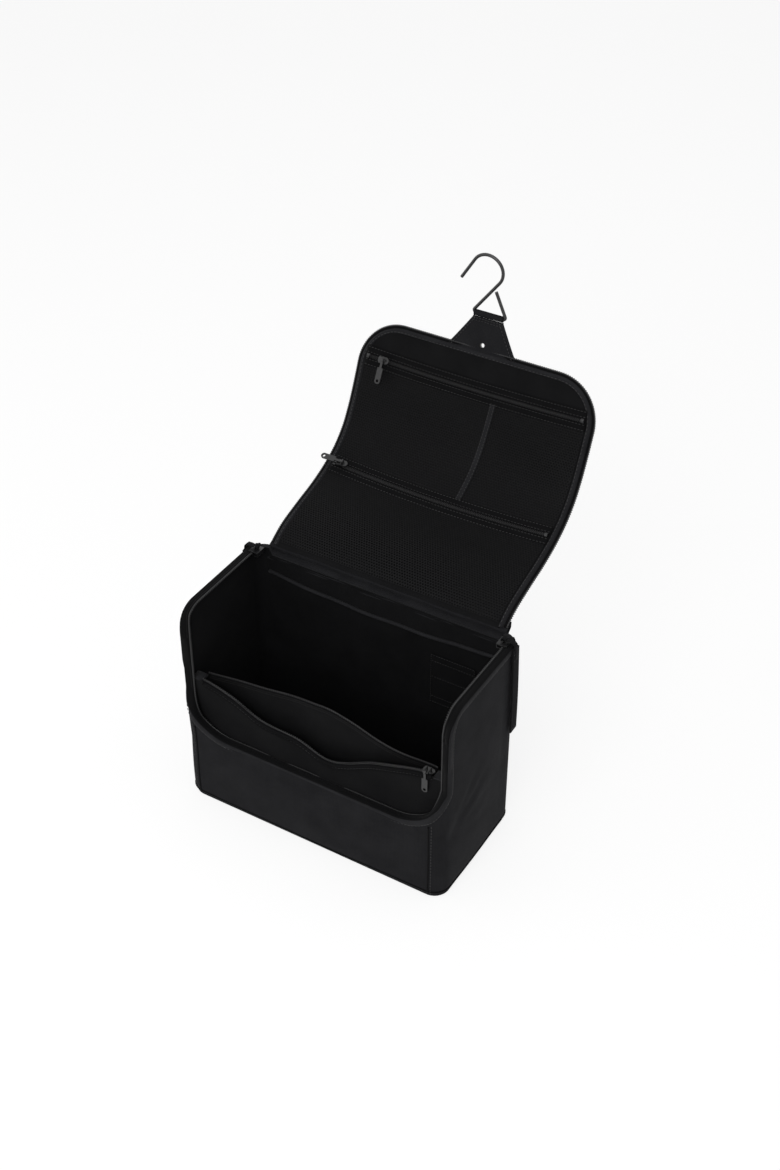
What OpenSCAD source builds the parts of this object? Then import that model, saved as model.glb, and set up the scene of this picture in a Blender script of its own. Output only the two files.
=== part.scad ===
/* [Body] */
// Width of the body, left to right
body_w = 270; // [240:5:300]
// Depth of the body, front to back
body_d = 130; // [115:5:150]
// Height of the side rims, with their zip tape
body_h = 207; // [180:1:230]
// Height of the front wall, with its zip tape
front_h = 86; // [70:1:100]
// Radius of the upright corners
corner_r = 16; // [12:1:20]
// Radius of the side panels' upper front corner
shoulder_r = 22; // [18:1:28]
// Radius of the lower corners of the front window
window_r = 40; // [30:1:50]

/* [Cloth] */
// Thickness of one layer of shell or lining cloth
cloth_t = 1; // [0.8:0.1:1.2]
// Thickness of the foam in the body walls
foam_t = 3; // [2.5:0.1:3.5]
// Thickness of the base board
board_t = 2; // [1.5:0.5:3]
// Thickness of the foam in the lid
lid_foam_t = 2; // [1.6:0.1:2.2]
// Thickness of a mesh pocket
mesh_t = 0.8; // [0.6:0.1:1]

/* [Lid] */
// Length of the lid's upper panel, hinge to fold
lid_top_len = 125; // [110:1:140]
// Length of the lid's front panel, fold to edge
lid_front_len = 112.5; // [100:0.5:130]
// Radius of the lid's free corners
lid_r = 36; // [28:1:45]
// Clearance between the closed lid and the body's zip coil
zip_clear = 3.4; // [3.3:0.1:4.5]
// Distance of the middle zip from the hinge
mid_zip_at = 104; // [90:1:106]
// Distance of the upper zip from the lid's edge
upper_zip_in = 26; // [22:1:34]

/* [Zips] */
// Width of one zip tape
tape_w = 6; // [5:0.5:7]
// Thickness of zip tape
tape_t = 1.2; // [1:0.1:1.4]
// Width and height of a zip coil
coil_t = 1.6; // [1.4:0.1:2]
// Length of a zip slider
slider_len = 11; // [9:0.5:13]
// Length of a small zip puller
puller_len = 22; // [18:1:28]
// Length of the webbing pull
webbing_len = 100; // [80:1:120]
// Width of the webbing pull
webbing_w = 10; // [8:1:12]

/* [Pocket] */
// Height of the inner pocket's ends
pocket_end_h = 133; // [125:1:140]
// Dip of the pocket's front sheet
pocket_dip = 32; // [24:1:38]
// Rise of the pocket's back sheet
pocket_rise = 16; // [10:1:20]
// Gap between the pocket's two sheets
pocket_gap = 9; // [8:0.5:14]

/* [Hook] */
// Length of the tab, lid edge to hook bar
tab_len = 38; // [32:1:46]
// Width of the tab at the lid
tab_base_w = 74; // [60:1:84]
// Width of the tab at the hook bar
tab_top_w = 25; // [22:1:26]
// Thickness of the hook wire
wire_d = 3; // [2.6:0.1:3.6]
// Length of the hook's bar
bar_len = 34; // [33:1:38]
// Radius of the hook's bend
hook_r = 15; // [12:1:18]
// Length of the hook's straight tip
tip_len = 24; // [18:1:28]

/* [Rest pose] */
// Lean of the upper panel above level
lid_lean = 24; // [15:1:35]
// Bend between the two lid panels
fold_rest = 38; // [20:1:45]
// Bend between the lid and the tab
tab_rest = 7; // [0:1:15]

/* [Hidden] */
$fn = 48;
eps = 0.01;
running = 0.3;
seam = 0.1;
wall_t = cloth_t + foam_t + cloth_t;
lid_t = cloth_t + lid_foam_t + cloth_t;
half_w = body_w / 2;
half_d = body_d / 2;

// The hinge line runs along the top of the back wall, the closed lid lies level with the side rims.
hinge_y = half_d - 3;
hinge_z = body_h - 4;
hinge_roll_r = 3.4;
hinge_gap = 4.2;
back_h = hinge_z - hinge_gap;
fold_roll_r = 2.6;
fold_gap = 3.4;

// Window in the front wall: the coil line, the wall's edge outside it and the lid's edge inside it.
rim_z = body_h - tape_t;
rim_y = -half_d + 9;
coil_half = half_w - wall_t - tape_w;
edge_half = half_w - 1;
edge_bottom = front_h - tape_w;
lid_half = coil_half - zip_clear;
panel_half = lid_half - 6.5;
lid_tape_w = 2.5;
notch_half = lid_half + 1.9;

// Heights above the lid's middle plane.
lid_skin = lid_t / 2;
mesh_top = lid_skin + mesh_t;
small_tape_t = 0.6;
small_tape_w = 18;
small_coil_w = 3.4;
small_coil_h = 1.4;

floor_z = cloth_t + board_t + cloth_t;
pocket_front_y = -half_d + 12.2;
pocket_back_y = pocket_front_y + pocket_gap;
pocket_half = half_w - wall_t - 1.2;
pocket_zip_half = 118;

puller_w = 5.6;
puller_t = 1.4;
bail_r = 0.6;
bail_h = 3.1;
lip_t = 0.9;

// ---- shared outlines ----

module round_rect(w, d, r) {
    square([w - 2 * r, d], center = true);
    square([w, d - 2 * r], center = true);
    for (sx = [-1, 1], sy = [-1, 1])
        translate([sx * (w / 2 - r), sy * (d / 2 - r)]) circle(r);
}

module plan(inset) {
    round_rect(body_w - 2 * inset, body_d - 2 * inset, corner_r - inset);
}

// A window outline in front view: open at the top, round at the lower corners.
module window_outline(half, bottom, r, top) {
    translate([-half, bottom + r]) square([2 * half, top - bottom - r]);
    translate([-half + r, bottom]) square([2 * (half - r), r + eps]);
    for (side = [-1, 1]) translate([side * (half - r), bottom + r]) circle(r);
}

// Turns a front view outline into a solid that ends at y and is depth deep.
module from_front(y, depth) {
    translate([0, y, 0]) rotate([90, 0, 0]) linear_extrude(depth) children();
}

// Turns a side view outline into a solid that starts at x.
module from_side(x, width) {
    translate([x, 0, 0]) rotate([90, 0, 90]) linear_extrude(width) children();
}

// What stands of the walls behind rim_y, in side view: level on top, with a round shoulder.
module side_outline() {
    shoulder = shoulder_r - tape_t;
    square_top = rim_z - shoulder;
    translate([rim_y, 0]) square([body_d, square_top]);
    translate([rim_y + shoulder, 0]) square([body_d, rim_z]);
    translate([rim_y + shoulder, square_top]) circle(shoulder);
}

// The walls' full height: the front wall ends at the window, the back wall at the hinge.
module standing_walls() {
    difference() {
        from_side(-half_w, body_w) side_outline();
        translate([-notch_half, half_d - wall_t - 6, back_h]) cube([2 * notch_half, wall_t + 8, body_h - back_h]);
    }
    from_front(rim_y, half_d) difference() {
        translate([-half_w, 0]) square([body_w, rim_z]);
        window_outline(edge_half, edge_bottom, window_r + 10, body_h + 1);
    }
}

// One layer of the walls between two insets from the outside.
module wall_layer(outer, inner, z) {
    intersection() {
        translate([0, 0, z]) linear_extrude(body_h - z) difference() {
            plan(outer);
            plan(inner);
        }
        standing_walls();
    }
}

module front_part() {
    intersection() {
        children();
        translate([-half_w + corner_r, -half_d, 0]) cube([body_w - 2 * corner_r, half_d, body_h]);
    }
}

module back_part() {
    intersection() {
        children();
        translate([-half_w + corner_r, 0, 0]) cube([body_w - 2 * corner_r, half_d, body_h]);
    }
}

module side_part(side) {
    intersection() {
        children();
        translate([side > 0 ? half_w - corner_r : -half_w, -half_d, 0]) cube([corner_r, body_d, body_h]);
    }
}

module shell_layer() { wall_layer(0, cloth_t, cloth_t); }
module foam_layer() { wall_layer(cloth_t, cloth_t + foam_t, cloth_t); }
module lining_layer() { wall_layer(cloth_t + foam_t, wall_t, floor_z); }

// ---- body ----

module base_panel() {
    color("#1d1d1f") linear_extrude(cloth_t) plan(0);
}

module base_board() {
    color("#3a3a3c") translate([0, 0, cloth_t]) linear_extrude(board_t) plan(cloth_t + foam_t);
}

module base_lining() {
    color("#151516") translate([0, 0, cloth_t + board_t]) linear_extrude(cloth_t) plan(cloth_t + foam_t);
}

module front_panel() { color("#252527") front_part() shell_layer(); }
module back_panel() { color("#252527") back_part() shell_layer(); }
module left_side_panel() { color("#222224") side_part(-1) shell_layer(); }
module right_side_panel() { color("#222224") side_part(1) shell_layer(); }
module front_foam() { color("#4a4a4c") front_part() foam_layer(); }
module back_foam() { color("#4a4a4c") back_part() foam_layer(); }
module left_foam() { color("#4a4a4c") side_part(-1) foam_layer(); }
module right_foam() { color("#4a4a4c") side_part(1) foam_layer(); }
module front_lining() { color("#161617") front_part() lining_layer(); }
module back_lining() { color("#161617") back_part() lining_layer(); }
module left_lining() { color("#161617") side_part(-1) lining_layer(); }
module right_lining() { color("#161617") side_part(1) lining_layer(); }

// An L in side view with a round corner: the run of a strip over a side rim and down its front edge.
module rim_run(outer, strip, back_y, low_z) {
    y0 = rim_y - tape_t + outer;
    z1 = body_h - outer;
    r = shoulder_r - outer;
    translate([y0 + r, z1 - strip]) square([back_y - y0 - r, strip]);
    translate([y0, low_z]) square([strip, z1 - r - low_z]);
    intersection() {
        translate([y0, z1 - r]) square(r);
        translate([y0 + r, z1 - r]) difference() {
            circle(r);
            circle(r - strip);
        }
    }
}

// The part of the front wall's middle skin between two window outlines.
module front_run(skin_out, skin_in, half_out, bottom_out, r_out, half_in, bottom_in, r_in, top) {
    intersection() {
        linear_extrude(body_h) difference() {
            plan(skin_out);
            plan(skin_in);
        }
        from_front(rim_y, half_d) difference() {
            window_outline(half_out, bottom_out, r_out, top);
            translate([0, eps]) window_outline(half_in, bottom_in, r_in, top + 1);
        }
    }
}

low_run = front_h + window_r;

module rim_tape() {
    mid = wall_t / 2 - tape_t / 2;
    color("#101011") {
        front_run(mid, mid + tape_t, edge_half, edge_bottom, window_r + 10,
            coil_half, front_h, window_r, body_h - shoulder_r);
        for (side = [-1, 1])
            from_side(side > 0 ? coil_half : -coil_half - tape_w - 2.5, tape_w + 2.5)
                rim_run(0, tape_t, hinge_y - 6, low_run);
    }
}

module rim_coil() {
    mid = wall_t / 2 - coil_t / 2;
    color("#0c0c0d") {
        front_run(mid, mid + coil_t, coil_half - seam, front_h + seam, window_r - seam,
            coil_half - coil_t, front_h + coil_t, window_r - coil_t, body_h - shoulder_r);
        for (side = [-1, 1])
            from_side(side > 0 ? coil_half - coil_t : -coil_half + seam, coil_t - seam)
                rim_run(0, coil_t, hinge_y - 6, low_run);
    }
}

// The turned strip of cloth that the lid swings on.
module hinge_strip() {
    color("#1c1c1e") translate([-panel_half, hinge_y, hinge_z]) rotate([0, 90, 0])
        cylinder(r = hinge_roll_r, h = 2 * panel_half);
}

module hinge_piping() {
    piping_r = 1.6;
    piping_half = half_w - corner_r;
    color("#101011") translate([-piping_half, half_d - wall_t - piping_r, body_h - 27]) rotate([0, 90, 0])
        cylinder(r = piping_r, h = 2 * piping_half);
}

module label_patch() {
    color("#0a0a0b") translate([50, half_d - wall_t - 0.6, 100]) cube([46, 0.6, 57]);
}

// ---- inner pocket ----

// Front view outline of a pocket sheet: its top edge is an arc that ends at pocket_end_h.
module sheet_outline(bulge, extra) {
    r = (pocket_zip_half * pocket_zip_half + bulge * bulge) / (2 * abs(bulge));
    if (bulge > 0) {
        intersection() {
            translate([-pocket_half, floor_z]) square([2 * pocket_half, body_h]);
            union() {
                translate([-pocket_half, floor_z]) square([2 * pocket_half, pocket_end_h + extra - floor_z]);
                translate([0, pocket_end_h + bulge - r]) circle(r + extra, $fn = 96);
            }
        }
    } else {
        difference() {
            translate([-pocket_half, floor_z]) square([2 * pocket_half, pocket_end_h + extra - floor_z]);
            translate([0, pocket_end_h + bulge + r]) circle(r - extra, $fn = 96);
        }
    }
}

// The facing is padded out to the wall's lining low down and thin where the closed lid passes it.
module pocket_front_sheet() {
    lining_y = -half_d + wall_t;
    face = [[lining_y, floor_z], [lining_y, front_h - 14], [pocket_front_y, front_h + 4],
        [pocket_front_y, body_h], [pocket_front_y + cloth_t, body_h], [pocket_front_y + cloth_t, floor_z]];
    color("#19191a") intersection() {
        from_side(-pocket_half, 2 * pocket_half) polygon(face);
        from_front(0, half_d) sheet_outline(-pocket_dip, 0);
        linear_extrude(body_h) plan(wall_t + seam);
    }
}

module pocket_back_sheet() {
    color("#19191a") from_front(pocket_back_y + cloth_t, cloth_t) sheet_outline(pocket_rise, 0);
}

module pocket_coils() {
    color("#0c0c0d") {
        from_front(pocket_front_y + cloth_t, cloth_t) difference() {
            sheet_outline(-pocket_dip, coil_t);
            sheet_outline(-pocket_dip, 0);
        }
        from_front(pocket_back_y + cloth_t, cloth_t) difference() {
            sheet_outline(pocket_rise, coil_t);
            sheet_outline(pocket_rise, 0);
        }
    }
}

module pocket_end_tabs() {
    color("#101011") for (side = [-1, 1])
        translate([side > 0 ? pocket_zip_half + 2 : -pocket_half, pocket_front_y + cloth_t, pocket_end_h - 3])
            cube([pocket_half - pocket_zip_half - 2, pocket_gap - cloth_t, 3]);
}

// ---- lid ----

module on_lid_top() { translate([0, hinge_y, hinge_z]) rotate([lid_lean, 0, 0]) children(); }
module on_lid_front() { on_lid_top() translate([0, lid_top_len, 0]) rotate([fold_rest, 0, 0]) children(); }

lid_top_y0 = hinge_gap;
lid_top_y1 = lid_top_len - fold_gap;

module lid_top_slab(x0, x1, y0, y1, z0, z1) {
    translate([x0, y0, z0]) cube([x1 - x0, y1 - y0, z1 - z0]);
}

module lid_top_sheet(z0, z1) {
    lid_top_slab(-panel_half, panel_half, lid_top_y0, lid_top_y1, z0, z1);
}

// Outline of the front panel: straight at the fold, round at its free corners.
module lid_front_outline(half, inset) {
    r = lid_r - inset;
    far = lid_front_len - inset;
    translate([-half, fold_gap]) square([2 * half, far - r - fold_gap]);
    translate([-half + r, fold_gap]) square([2 * (half - r), far - fold_gap]);
    for (side = [-1, 1]) translate([side * (half - r), far - r]) circle(r);
}

// A band of the front panel between two insets from its edge.
module lid_front_band(inset_out, inset_in, z0, z1) {
    translate([0, 0, z0]) linear_extrude(z1 - z0) difference() {
        lid_front_outline(lid_half - inset_out, inset_out);
        translate([0, -eps]) lid_front_outline(lid_half - inset_in, inset_in);
        translate([-lid_half + inset_in, fold_gap - 1]) square([2 * (lid_half - inset_in), 2]);
    }
}

module lid_front_sheet(z0, z1) {
    translate([0, 0, z0]) linear_extrude(z1 - z0) lid_front_outline(panel_half, lid_half - panel_half);
}

zip_inset = 1.5;
tape_inset = zip_inset + lid_tape_w;
binding_z = lid_skin + 0.4;

module lid_top_panel() { color("#252527") on_lid_top() lid_top_sheet(-lid_skin, -lid_skin + cloth_t); }
module lid_top_foam() { color("#4a4a4c") on_lid_top() lid_top_sheet(-lid_skin + cloth_t, lid_skin - cloth_t); }
module lid_top_lining() { color("#161617") on_lid_top() lid_top_sheet(lid_skin - cloth_t, lid_skin); }

module lid_top_binding() {
    color("#2a2a2c") on_lid_top() for (side = [-1, 1])
        lid_top_slab(side > 0 ? panel_half : -lid_half + tape_inset, side > 0 ? lid_half - tape_inset : -panel_half,
            lid_top_y0, lid_top_y1, -binding_z, binding_z);
}

module lid_top_zip() {
    color("#0c0c0d") on_lid_top() for (side = [-1, 1]) {
        lid_top_slab(side > 0 ? lid_half - tape_inset : -lid_half + zip_inset,
            side > 0 ? lid_half - zip_inset : -lid_half + tape_inset, lid_top_y0 + 4, lid_top_y1, -0.6, 0.6);
        lid_top_slab(side > 0 ? lid_half - zip_inset : -lid_half, side > 0 ? lid_half : -lid_half + zip_inset,
            lid_top_y0 + 4, lid_top_y1, -coil_t / 2, coil_t / 2);
    }
}

module lower_mesh() {
    color("#1a1a1a") on_lid_top() lid_top_slab(-panel_half, panel_half, lid_top_y0,
        mid_zip_at - small_tape_w / 2, lid_skin, mesh_top);
}

module small_zip_tape(y) {
    lid_top_slab(-panel_half, panel_half, y - small_tape_w / 2, y + small_tape_w / 2, lid_skin, lid_skin + small_tape_t);
}

module small_zip_coil(y, half) {
    lid_top_slab(-half, half, y - small_coil_w / 2, y + small_coil_w / 2,
        lid_skin + small_tape_t, lid_skin + small_tape_t + small_coil_h);
}

module mid_zip_tape() { color("#111112") on_lid_top() small_zip_tape(mid_zip_at); }
module mid_zip_coil() { color("#0c0c0d") on_lid_top() small_zip_coil(mid_zip_at, panel_half - 3); }

module fold_strip() {
    color("#1c1c1e") on_lid_top() translate([-panel_half, lid_top_len, 0]) rotate([0, 90, 0])
        cylinder(r = fold_roll_r, h = 2 * panel_half);
}

module lid_front_panel() { color("#252527") on_lid_front() lid_front_sheet(-lid_skin, -lid_skin + cloth_t); }
module lid_front_foam() { color("#4a4a4c") on_lid_front() lid_front_sheet(-lid_skin + cloth_t, lid_skin - cloth_t); }
module lid_front_lining() { color("#161617") on_lid_front() lid_front_sheet(lid_skin - cloth_t, lid_skin); }

module lid_front_binding() {
    color("#2a2a2c") on_lid_front() lid_front_band(tape_inset + seam, lid_half - panel_half - seam, -binding_z, binding_z);
}

module lid_front_zip() {
    color("#0c0c0d") on_lid_front() {
        lid_front_band(zip_inset, tape_inset, -0.6, 0.6);
        lid_front_band(0, zip_inset + eps, -coil_t / 2, coil_t / 2);
    }
}

upper_zip_at = lid_front_len - upper_zip_in;
mesh_far = upper_zip_at - small_tape_w / 2;
divider_w = 4;

module upper_mesh(side) {
    x0 = side > 0 ? divider_w / 2 : -panel_half;
    on_lid_front() lid_top_slab(x0, x0 + panel_half - divider_w / 2, fold_gap, mesh_far, lid_skin, mesh_top);
}

module upper_mesh_left() { color("#1a1a1a") upper_mesh(-1); }
module upper_mesh_right() { color("#1a1a1a") upper_mesh(1); }

module mesh_divider() {
    color("#111112") on_lid_front()
        lid_top_slab(-divider_w / 2, divider_w / 2, fold_gap, mesh_far, lid_skin, lid_skin + 1);
}

module upper_zip_tape() {
    color("#111112") on_lid_front() intersection() {
        small_zip_tape(upper_zip_at);
        lid_front_sheet(0, mesh_top);
    }
}

module upper_zip_coil() { color("#0c0c0d") on_lid_front() small_zip_coil(upper_zip_at, panel_half - 12); }

// ---- sliders and pullers ----

// A slider on a flat zip that runs along X: a plate over the coil, lips at both sides and a bail.
module zip_slider(roof, coil_room) {
    translate([0, 0, roof]) linear_extrude(1.2) intersection() {
        round_rect(slider_len, 2 * (coil_room + lip_t), 1.5);
        union() {
            translate([-slider_len / 2, -coil_room - lip_t]) square([slider_len * 0.6, 2 * (coil_room + lip_t)]);
            translate([slider_len / 2 - 5, 0]) scale([1.4, 1]) circle(3.5);
        }
    }
    for (side = [-1, 1])
        translate([-slider_len / 2 + 1, side > 0 ? coil_room : -coil_room - lip_t, 0.4])
            cube([slider_len - 5, lip_t, roof - 0.4 + eps]);
}

// The bail: two posts and the bar that the puller hangs on, along Y at the bar's height.
module bail(roof, half) {
    for (side = [-1, 1])
        translate([0, side * half, roof + 1.2 - eps]) cylinder(r = bail_r, h = bail_h - 1.2, $fn = 24);
    translate([0, -half - bail_r, roof + bail_h]) rotate([-90, 0, 0]) cylinder(r = bail_r, h = 2 * (half + bail_r), $fn = 24);
}

// A flat puller that points along -X from the bail's bar: an eye, a waisted blade and a round hole.
module puller() {
    eye_r = bail_r + running + 0.7;
    difference() {
        union() {
            rotate([-90, 0, 0]) translate([0, 0, -1.1]) cylinder(r = eye_r, h = 2.2, $fn = 32);
            translate([-puller_len + puller_w / 2, 0, -puller_t / 2]) linear_extrude(puller_t) {
                circle(puller_w / 2);
                translate([0, -puller_w / 2]) square([puller_len * 0.55, puller_w]);
                translate([0, -1.1]) square([puller_len - puller_w / 2 - eye_r + 0.4, 2.2]);
            }
        }
        rotate([-90, 0, 0]) translate([0, 0, -2]) cylinder(r = bail_r + running, h = 4, $fn = 32);
        translate([-puller_len + puller_w / 2, 0, -2]) cylinder(r = 1.4, h = 4, $fn = 24);
    }
}

small_roof = small_coil_h + running;
coil_room = small_coil_w / 2 + running;
bar_half = 2;

module mid_slider_place() {
    on_lid_top() translate([-panel_half + 14, mid_zip_at, lid_skin + small_tape_t]) children();
}

module upper_slider_place() {
    on_lid_front() translate([-panel_half + 24, upper_zip_at, lid_skin + small_tape_t]) children();
}

module pocket_slider_place() {
    translate([pocket_zip_half - 7, pocket_front_y + cloth_t + (pocket_gap - cloth_t) / 2, pocket_end_h - 3]) children();
}

module mid_slider() {
    color("#1b1b1c") mid_slider_place() {
        zip_slider(small_roof, coil_room);
        bail(small_roof, bar_half);
    }
}

module mid_puller() {
    color("#1b1b1c") mid_slider_place() translate([0, 0, small_roof + bail_h]) puller();
}

module upper_slider() {
    color("#1b1b1c") upper_slider_place() {
        zip_slider(small_roof, coil_room);
        rotate([0, 0, 90]) bail(small_roof, bar_half);
    }
}

module upper_puller() {
    color("#1b1b1c") upper_slider_place() translate([0, 0, small_roof + bail_h]) rotate([0, 0, 90]) puller();
}

// The open pocket's slider stands between the two sheets. Two arms carry its bar over the front sheet.
pocket_bar_y = -(pocket_gap - cloth_t) / 2 - cloth_t - running - bail_r - running - 0.8;
pocket_bar_z = small_roof + 1.2 + bail_h;

module pocket_slider() {
    color("#1b1b1c") pocket_slider_place() {
        zip_slider(small_roof, (pocket_gap - cloth_t) / 2 - running - lip_t);
        for (side = [-1, 1]) translate([side * bar_half, 0, 0]) {
            translate([0, 0, small_roof + 0.6]) cylinder(r = bail_r, h = pocket_bar_z - small_roof - 0.6, $fn = 24);
            translate([0, pocket_bar_y, pocket_bar_z]) rotate([-90, 0, 0])
                cylinder(r = bail_r, h = bail_r - pocket_bar_y, $fn = 24);
        }
        translate([-bar_half - bail_r, pocket_bar_y, pocket_bar_z]) rotate([0, 90, 0])
            cylinder(r = bail_r, h = 2 * (bar_half + bail_r), $fn = 24);
    }
}

module pocket_puller() {
    color("#1b1b1c") pocket_slider_place() translate([0, pocket_bar_y, pocket_bar_z])
        rotate([90, 0, 0]) rotate([0, 0, 90]) puller();
}

main_slider_y = hinge_y - 12;
main_x = half_w - wall_t - 4;
main_bar_z = body_h + 4.2;

// A main slider on the right rim: a roof, a neck on the coil's inner side and a foot under the coil.
module main_slider() {
    inner_x = coil_half - coil_t - running - 0.9;
    translate([inner_x, main_slider_y - slider_len / 2, body_h + running])
        cube([half_w - inner_x - 4, slider_len, 1.2]);
    translate([inner_x, main_slider_y - slider_len / 2, body_h - coil_t - running - 1])
        cube([0.9, slider_len, coil_t + 2 * running + 1 + eps]);
    translate([inner_x, main_slider_y - slider_len / 2, body_h - coil_t - running - 1])
        cube([coil_half + 3.5 - inner_x, slider_len, 1]);
    for (side = [-1, 1])
        translate([main_x, main_slider_y + side * 3.6, body_h + running + 1]) cylinder(r = bail_r, h = main_bar_z - body_h - running - 1.1, $fn = 24);
    translate([main_x, main_slider_y - 3.6 - bail_r, main_bar_z]) rotate([-90, 0, 0])
        cylinder(r = bail_r, h = 7.2 + 2 * bail_r, $fn = 24);
}

// The webbing pull: looped on the bail's bar, over the rim and down the outside of the side panel.
module webbing_pull() {
    strip = 1.4;
    out_x = half_w + 0.5;
    eye_r = bail_r + running + 0.7;
    translate([main_x, main_slider_y - 2.6, main_bar_z]) rotate([-90, 0, 0]) difference() {
        cylinder(r = eye_r, h = 5.2, $fn = 32);
        translate([0, 0, -1]) cylinder(r = bail_r + running, h = 8, $fn = 32);
    }
    translate([main_x + bail_r + running + 0.2, main_slider_y - 2.6, main_bar_z - strip / 2])
        cube([out_x - main_x - bail_r - running - 0.2, 5.2, strip]);
    translate([out_x, main_slider_y - webbing_w / 2, main_bar_z + strip / 2 - webbing_len])
        cube([strip, webbing_w, webbing_len]);
}

module left_slider() { color("#1b1b1c") mirror([1, 0, 0]) main_slider(); }
module right_slider() { color("#1b1b1c") main_slider(); }
module left_pull() { color("#202022") mirror([1, 0, 0]) webbing_pull(); }
module right_pull() { color("#202022") webbing_pull(); }

// ---- tab and hook ----

tab_layer_t = 0.8;
tab_end_r = tab_layer_t + 0.1;
tab_gap = tab_end_r + running;
sleeve_bore = wire_d / 2 + running;
sleeve_r = sleeve_bore + 1.2;
eyelet_y = 11;
eyelet_r = 2;

module on_tab() { on_lid_front() translate([0, lid_front_len + tab_gap, 0]) rotate([tab_rest, 0, 0]) children(); }
module on_hook() { on_tab() translate([0, tab_len, 0]) rotate([90 - lid_lean - fold_rest - tab_rest, 0, 0]) children(); }

module tab_layer() {
    linear_extrude(tab_layer_t) difference() {
        polygon([[-tab_base_w / 2, 0], [tab_base_w / 2, 0], [tab_top_w / 2, tab_len - sleeve_r],
            [-tab_top_w / 2, tab_len - sleeve_r]]);
        translate([0, eyelet_y]) circle(eyelet_r + 0.6);
    }
}

module tab_outer_layer() {
    color("#1e1e20") on_tab() {
        translate([0, 0, -tab_end_r]) tab_layer();
        translate([-tab_base_w / 2, 0, 0]) rotate([0, 90, 0]) difference() {
            cylinder(r = tab_end_r, h = tab_base_w);
            translate([-2, 0, -1]) cube([4, 4, tab_base_w + 2]);
        }
    }
}

module tab_inner_layer() { color("#1e1e20") on_tab() translate([0, 0, 0.1]) tab_layer(); }

module tab_sleeve() {
    color("#1e1e20") on_tab() translate([-tab_top_w / 2, tab_len, 0]) rotate([0, 90, 0]) difference() {
        cylinder(r = sleeve_r, h = tab_top_w);
        translate([0, 0, -1]) cylinder(r = sleeve_bore, h = tab_top_w + 2);
    }
}

module eyelet() {
    flange = 0.4;
    color("#2c2c2e") on_tab() translate([0, eyelet_y, 0]) difference() {
        union() {
            translate([0, 0, -tab_end_r]) cylinder(r = eyelet_r + 0.6, h = 2 * tab_end_r);
            translate([0, 0, -tab_end_r - flange]) cylinder(r = eyelet_r + 1.6, h = flange);
            translate([0, 0, tab_end_r]) cylinder(r = eyelet_r + 1.6, h = flange);
        }
        translate([0, 0, -3]) cylinder(r = eyelet_r, h = 6);
    }
}

// The hook is one bent wire in a plane. Its route runs from the short leg's end along the bar and up
// the long leg, then round the bend to the tip.
leg_angle = 54.5;
hook_centre = [-3, 43];
tip_angle = 148;
wire_bend_r = 1.9;
wire_sides = 16;

function unit(v) = v / norm(v);
function on_circle(centre, r, angle) = centre + r * [cos(angle), sin(angle)];
function arc(centre, r, from, to, steps) = [for (i = [0:steps]) on_circle(centre, r, from + (to - from) * i / steps)];

// The round corner at b between the runs from a and to c.
function corner(a, b, c, r) =
    let (u = unit(a - b), v = unit(c - b), half = acos(u * v) / 2, centre = b + unit(u + v) * r / sin(half),
        from = b + u * r / tan(half) - centre, to = b + v * r / tan(half) - centre,
        a0 = atan2(from.y, from.x), turn = 180 - 2 * half, side = from.x * to.y - from.y * to.x > 0 ? 1 : -1)
    arc(centre, r, a0, a0 + side * turn, 6);

bar_left = [-bar_len / 2, 0];
bar_right = [bar_len / 2, 0];
stem_top = on_circle(hook_centre, hook_r, leg_angle - 90);
bend_end = on_circle(hook_centre, hook_r, tip_angle);
tip = bend_end + tip_len * [cos(tip_angle + 90), sin(tip_angle + 90)];
leg_top = bar_left + 0.78 * (stem_top - bar_left) + (wire_d + 0.15) * [cos(leg_angle - 90), sin(leg_angle - 90)];
route = concat([leg_top], corner(leg_top, bar_right, bar_left, wire_bend_r),
    corner(bar_right, bar_left, stem_top, wire_bend_r), arc(hook_centre, hook_r, leg_angle - 90, tip_angle, 20), [tip]);

// One ring of the wire's skin at point i of the route.
function ring(i) =
    let (along = unit(route[min(i + 1, len(route) - 1)] - route[max(i - 1, 0)]), across = [-along.y, along.x] * wire_d / 2)
    [for (k = [0:wire_sides - 1]) let (a = 360 * k / wire_sides)
        [route[i].x + across.x * cos(a), route[i].y + across.y * cos(a), wire_d / 2 * sin(a)]];

module bent_wire() {
    rings = len(route);
    skin = [for (i = [0:rings - 1]) each ring(i)];
    sides = [for (i = [0:rings - 2], k = [0:wire_sides - 1]) let (a = i * wire_sides, next = (k + 1) % wire_sides)
        each [[a + k, a + next, a + wire_sides + next], [a + k, a + wire_sides + next, a + wire_sides + k]]];
    start = [for (k = [wire_sides - 1:-1:0]) k];
    end = [for (k = [0:wire_sides - 1]) (rings - 1) * wire_sides + k];
    polyhedron(skin, concat(sides, [start], [end]), convexity = 6);
}

module wire_hook() { color("#141415") on_hook() bent_wire(); }

base_panel();
base_board();
front_panel();
back_panel();
left_side_panel();
right_side_panel();
front_foam();
back_foam();
left_foam();
right_foam();
base_lining();
front_lining();
back_lining();
left_lining();
right_lining();
rim_tape();
rim_coil();
hinge_strip();
hinge_piping();
label_patch();
pocket_front_sheet();
pocket_back_sheet();
pocket_coils();
pocket_end_tabs();
pocket_slider();
pocket_puller();
lid_top_panel();
lid_top_foam();
lid_top_lining();
lid_top_binding();
lid_top_zip();
lower_mesh();
mid_zip_tape();
mid_zip_coil();
mid_slider();
mid_puller();
fold_strip();
lid_front_panel();
lid_front_foam();
lid_front_lining();
lid_front_binding();
lid_front_zip();
upper_mesh_left();
upper_mesh_right();
mesh_divider();
upper_zip_tape();
upper_zip_coil();
upper_slider();
upper_puller();
tab_outer_layer();
tab_inner_layer();
tab_sleeve();
eyelet();
wire_hook();
left_slider();
right_slider();
left_pull();
right_pull();
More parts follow.
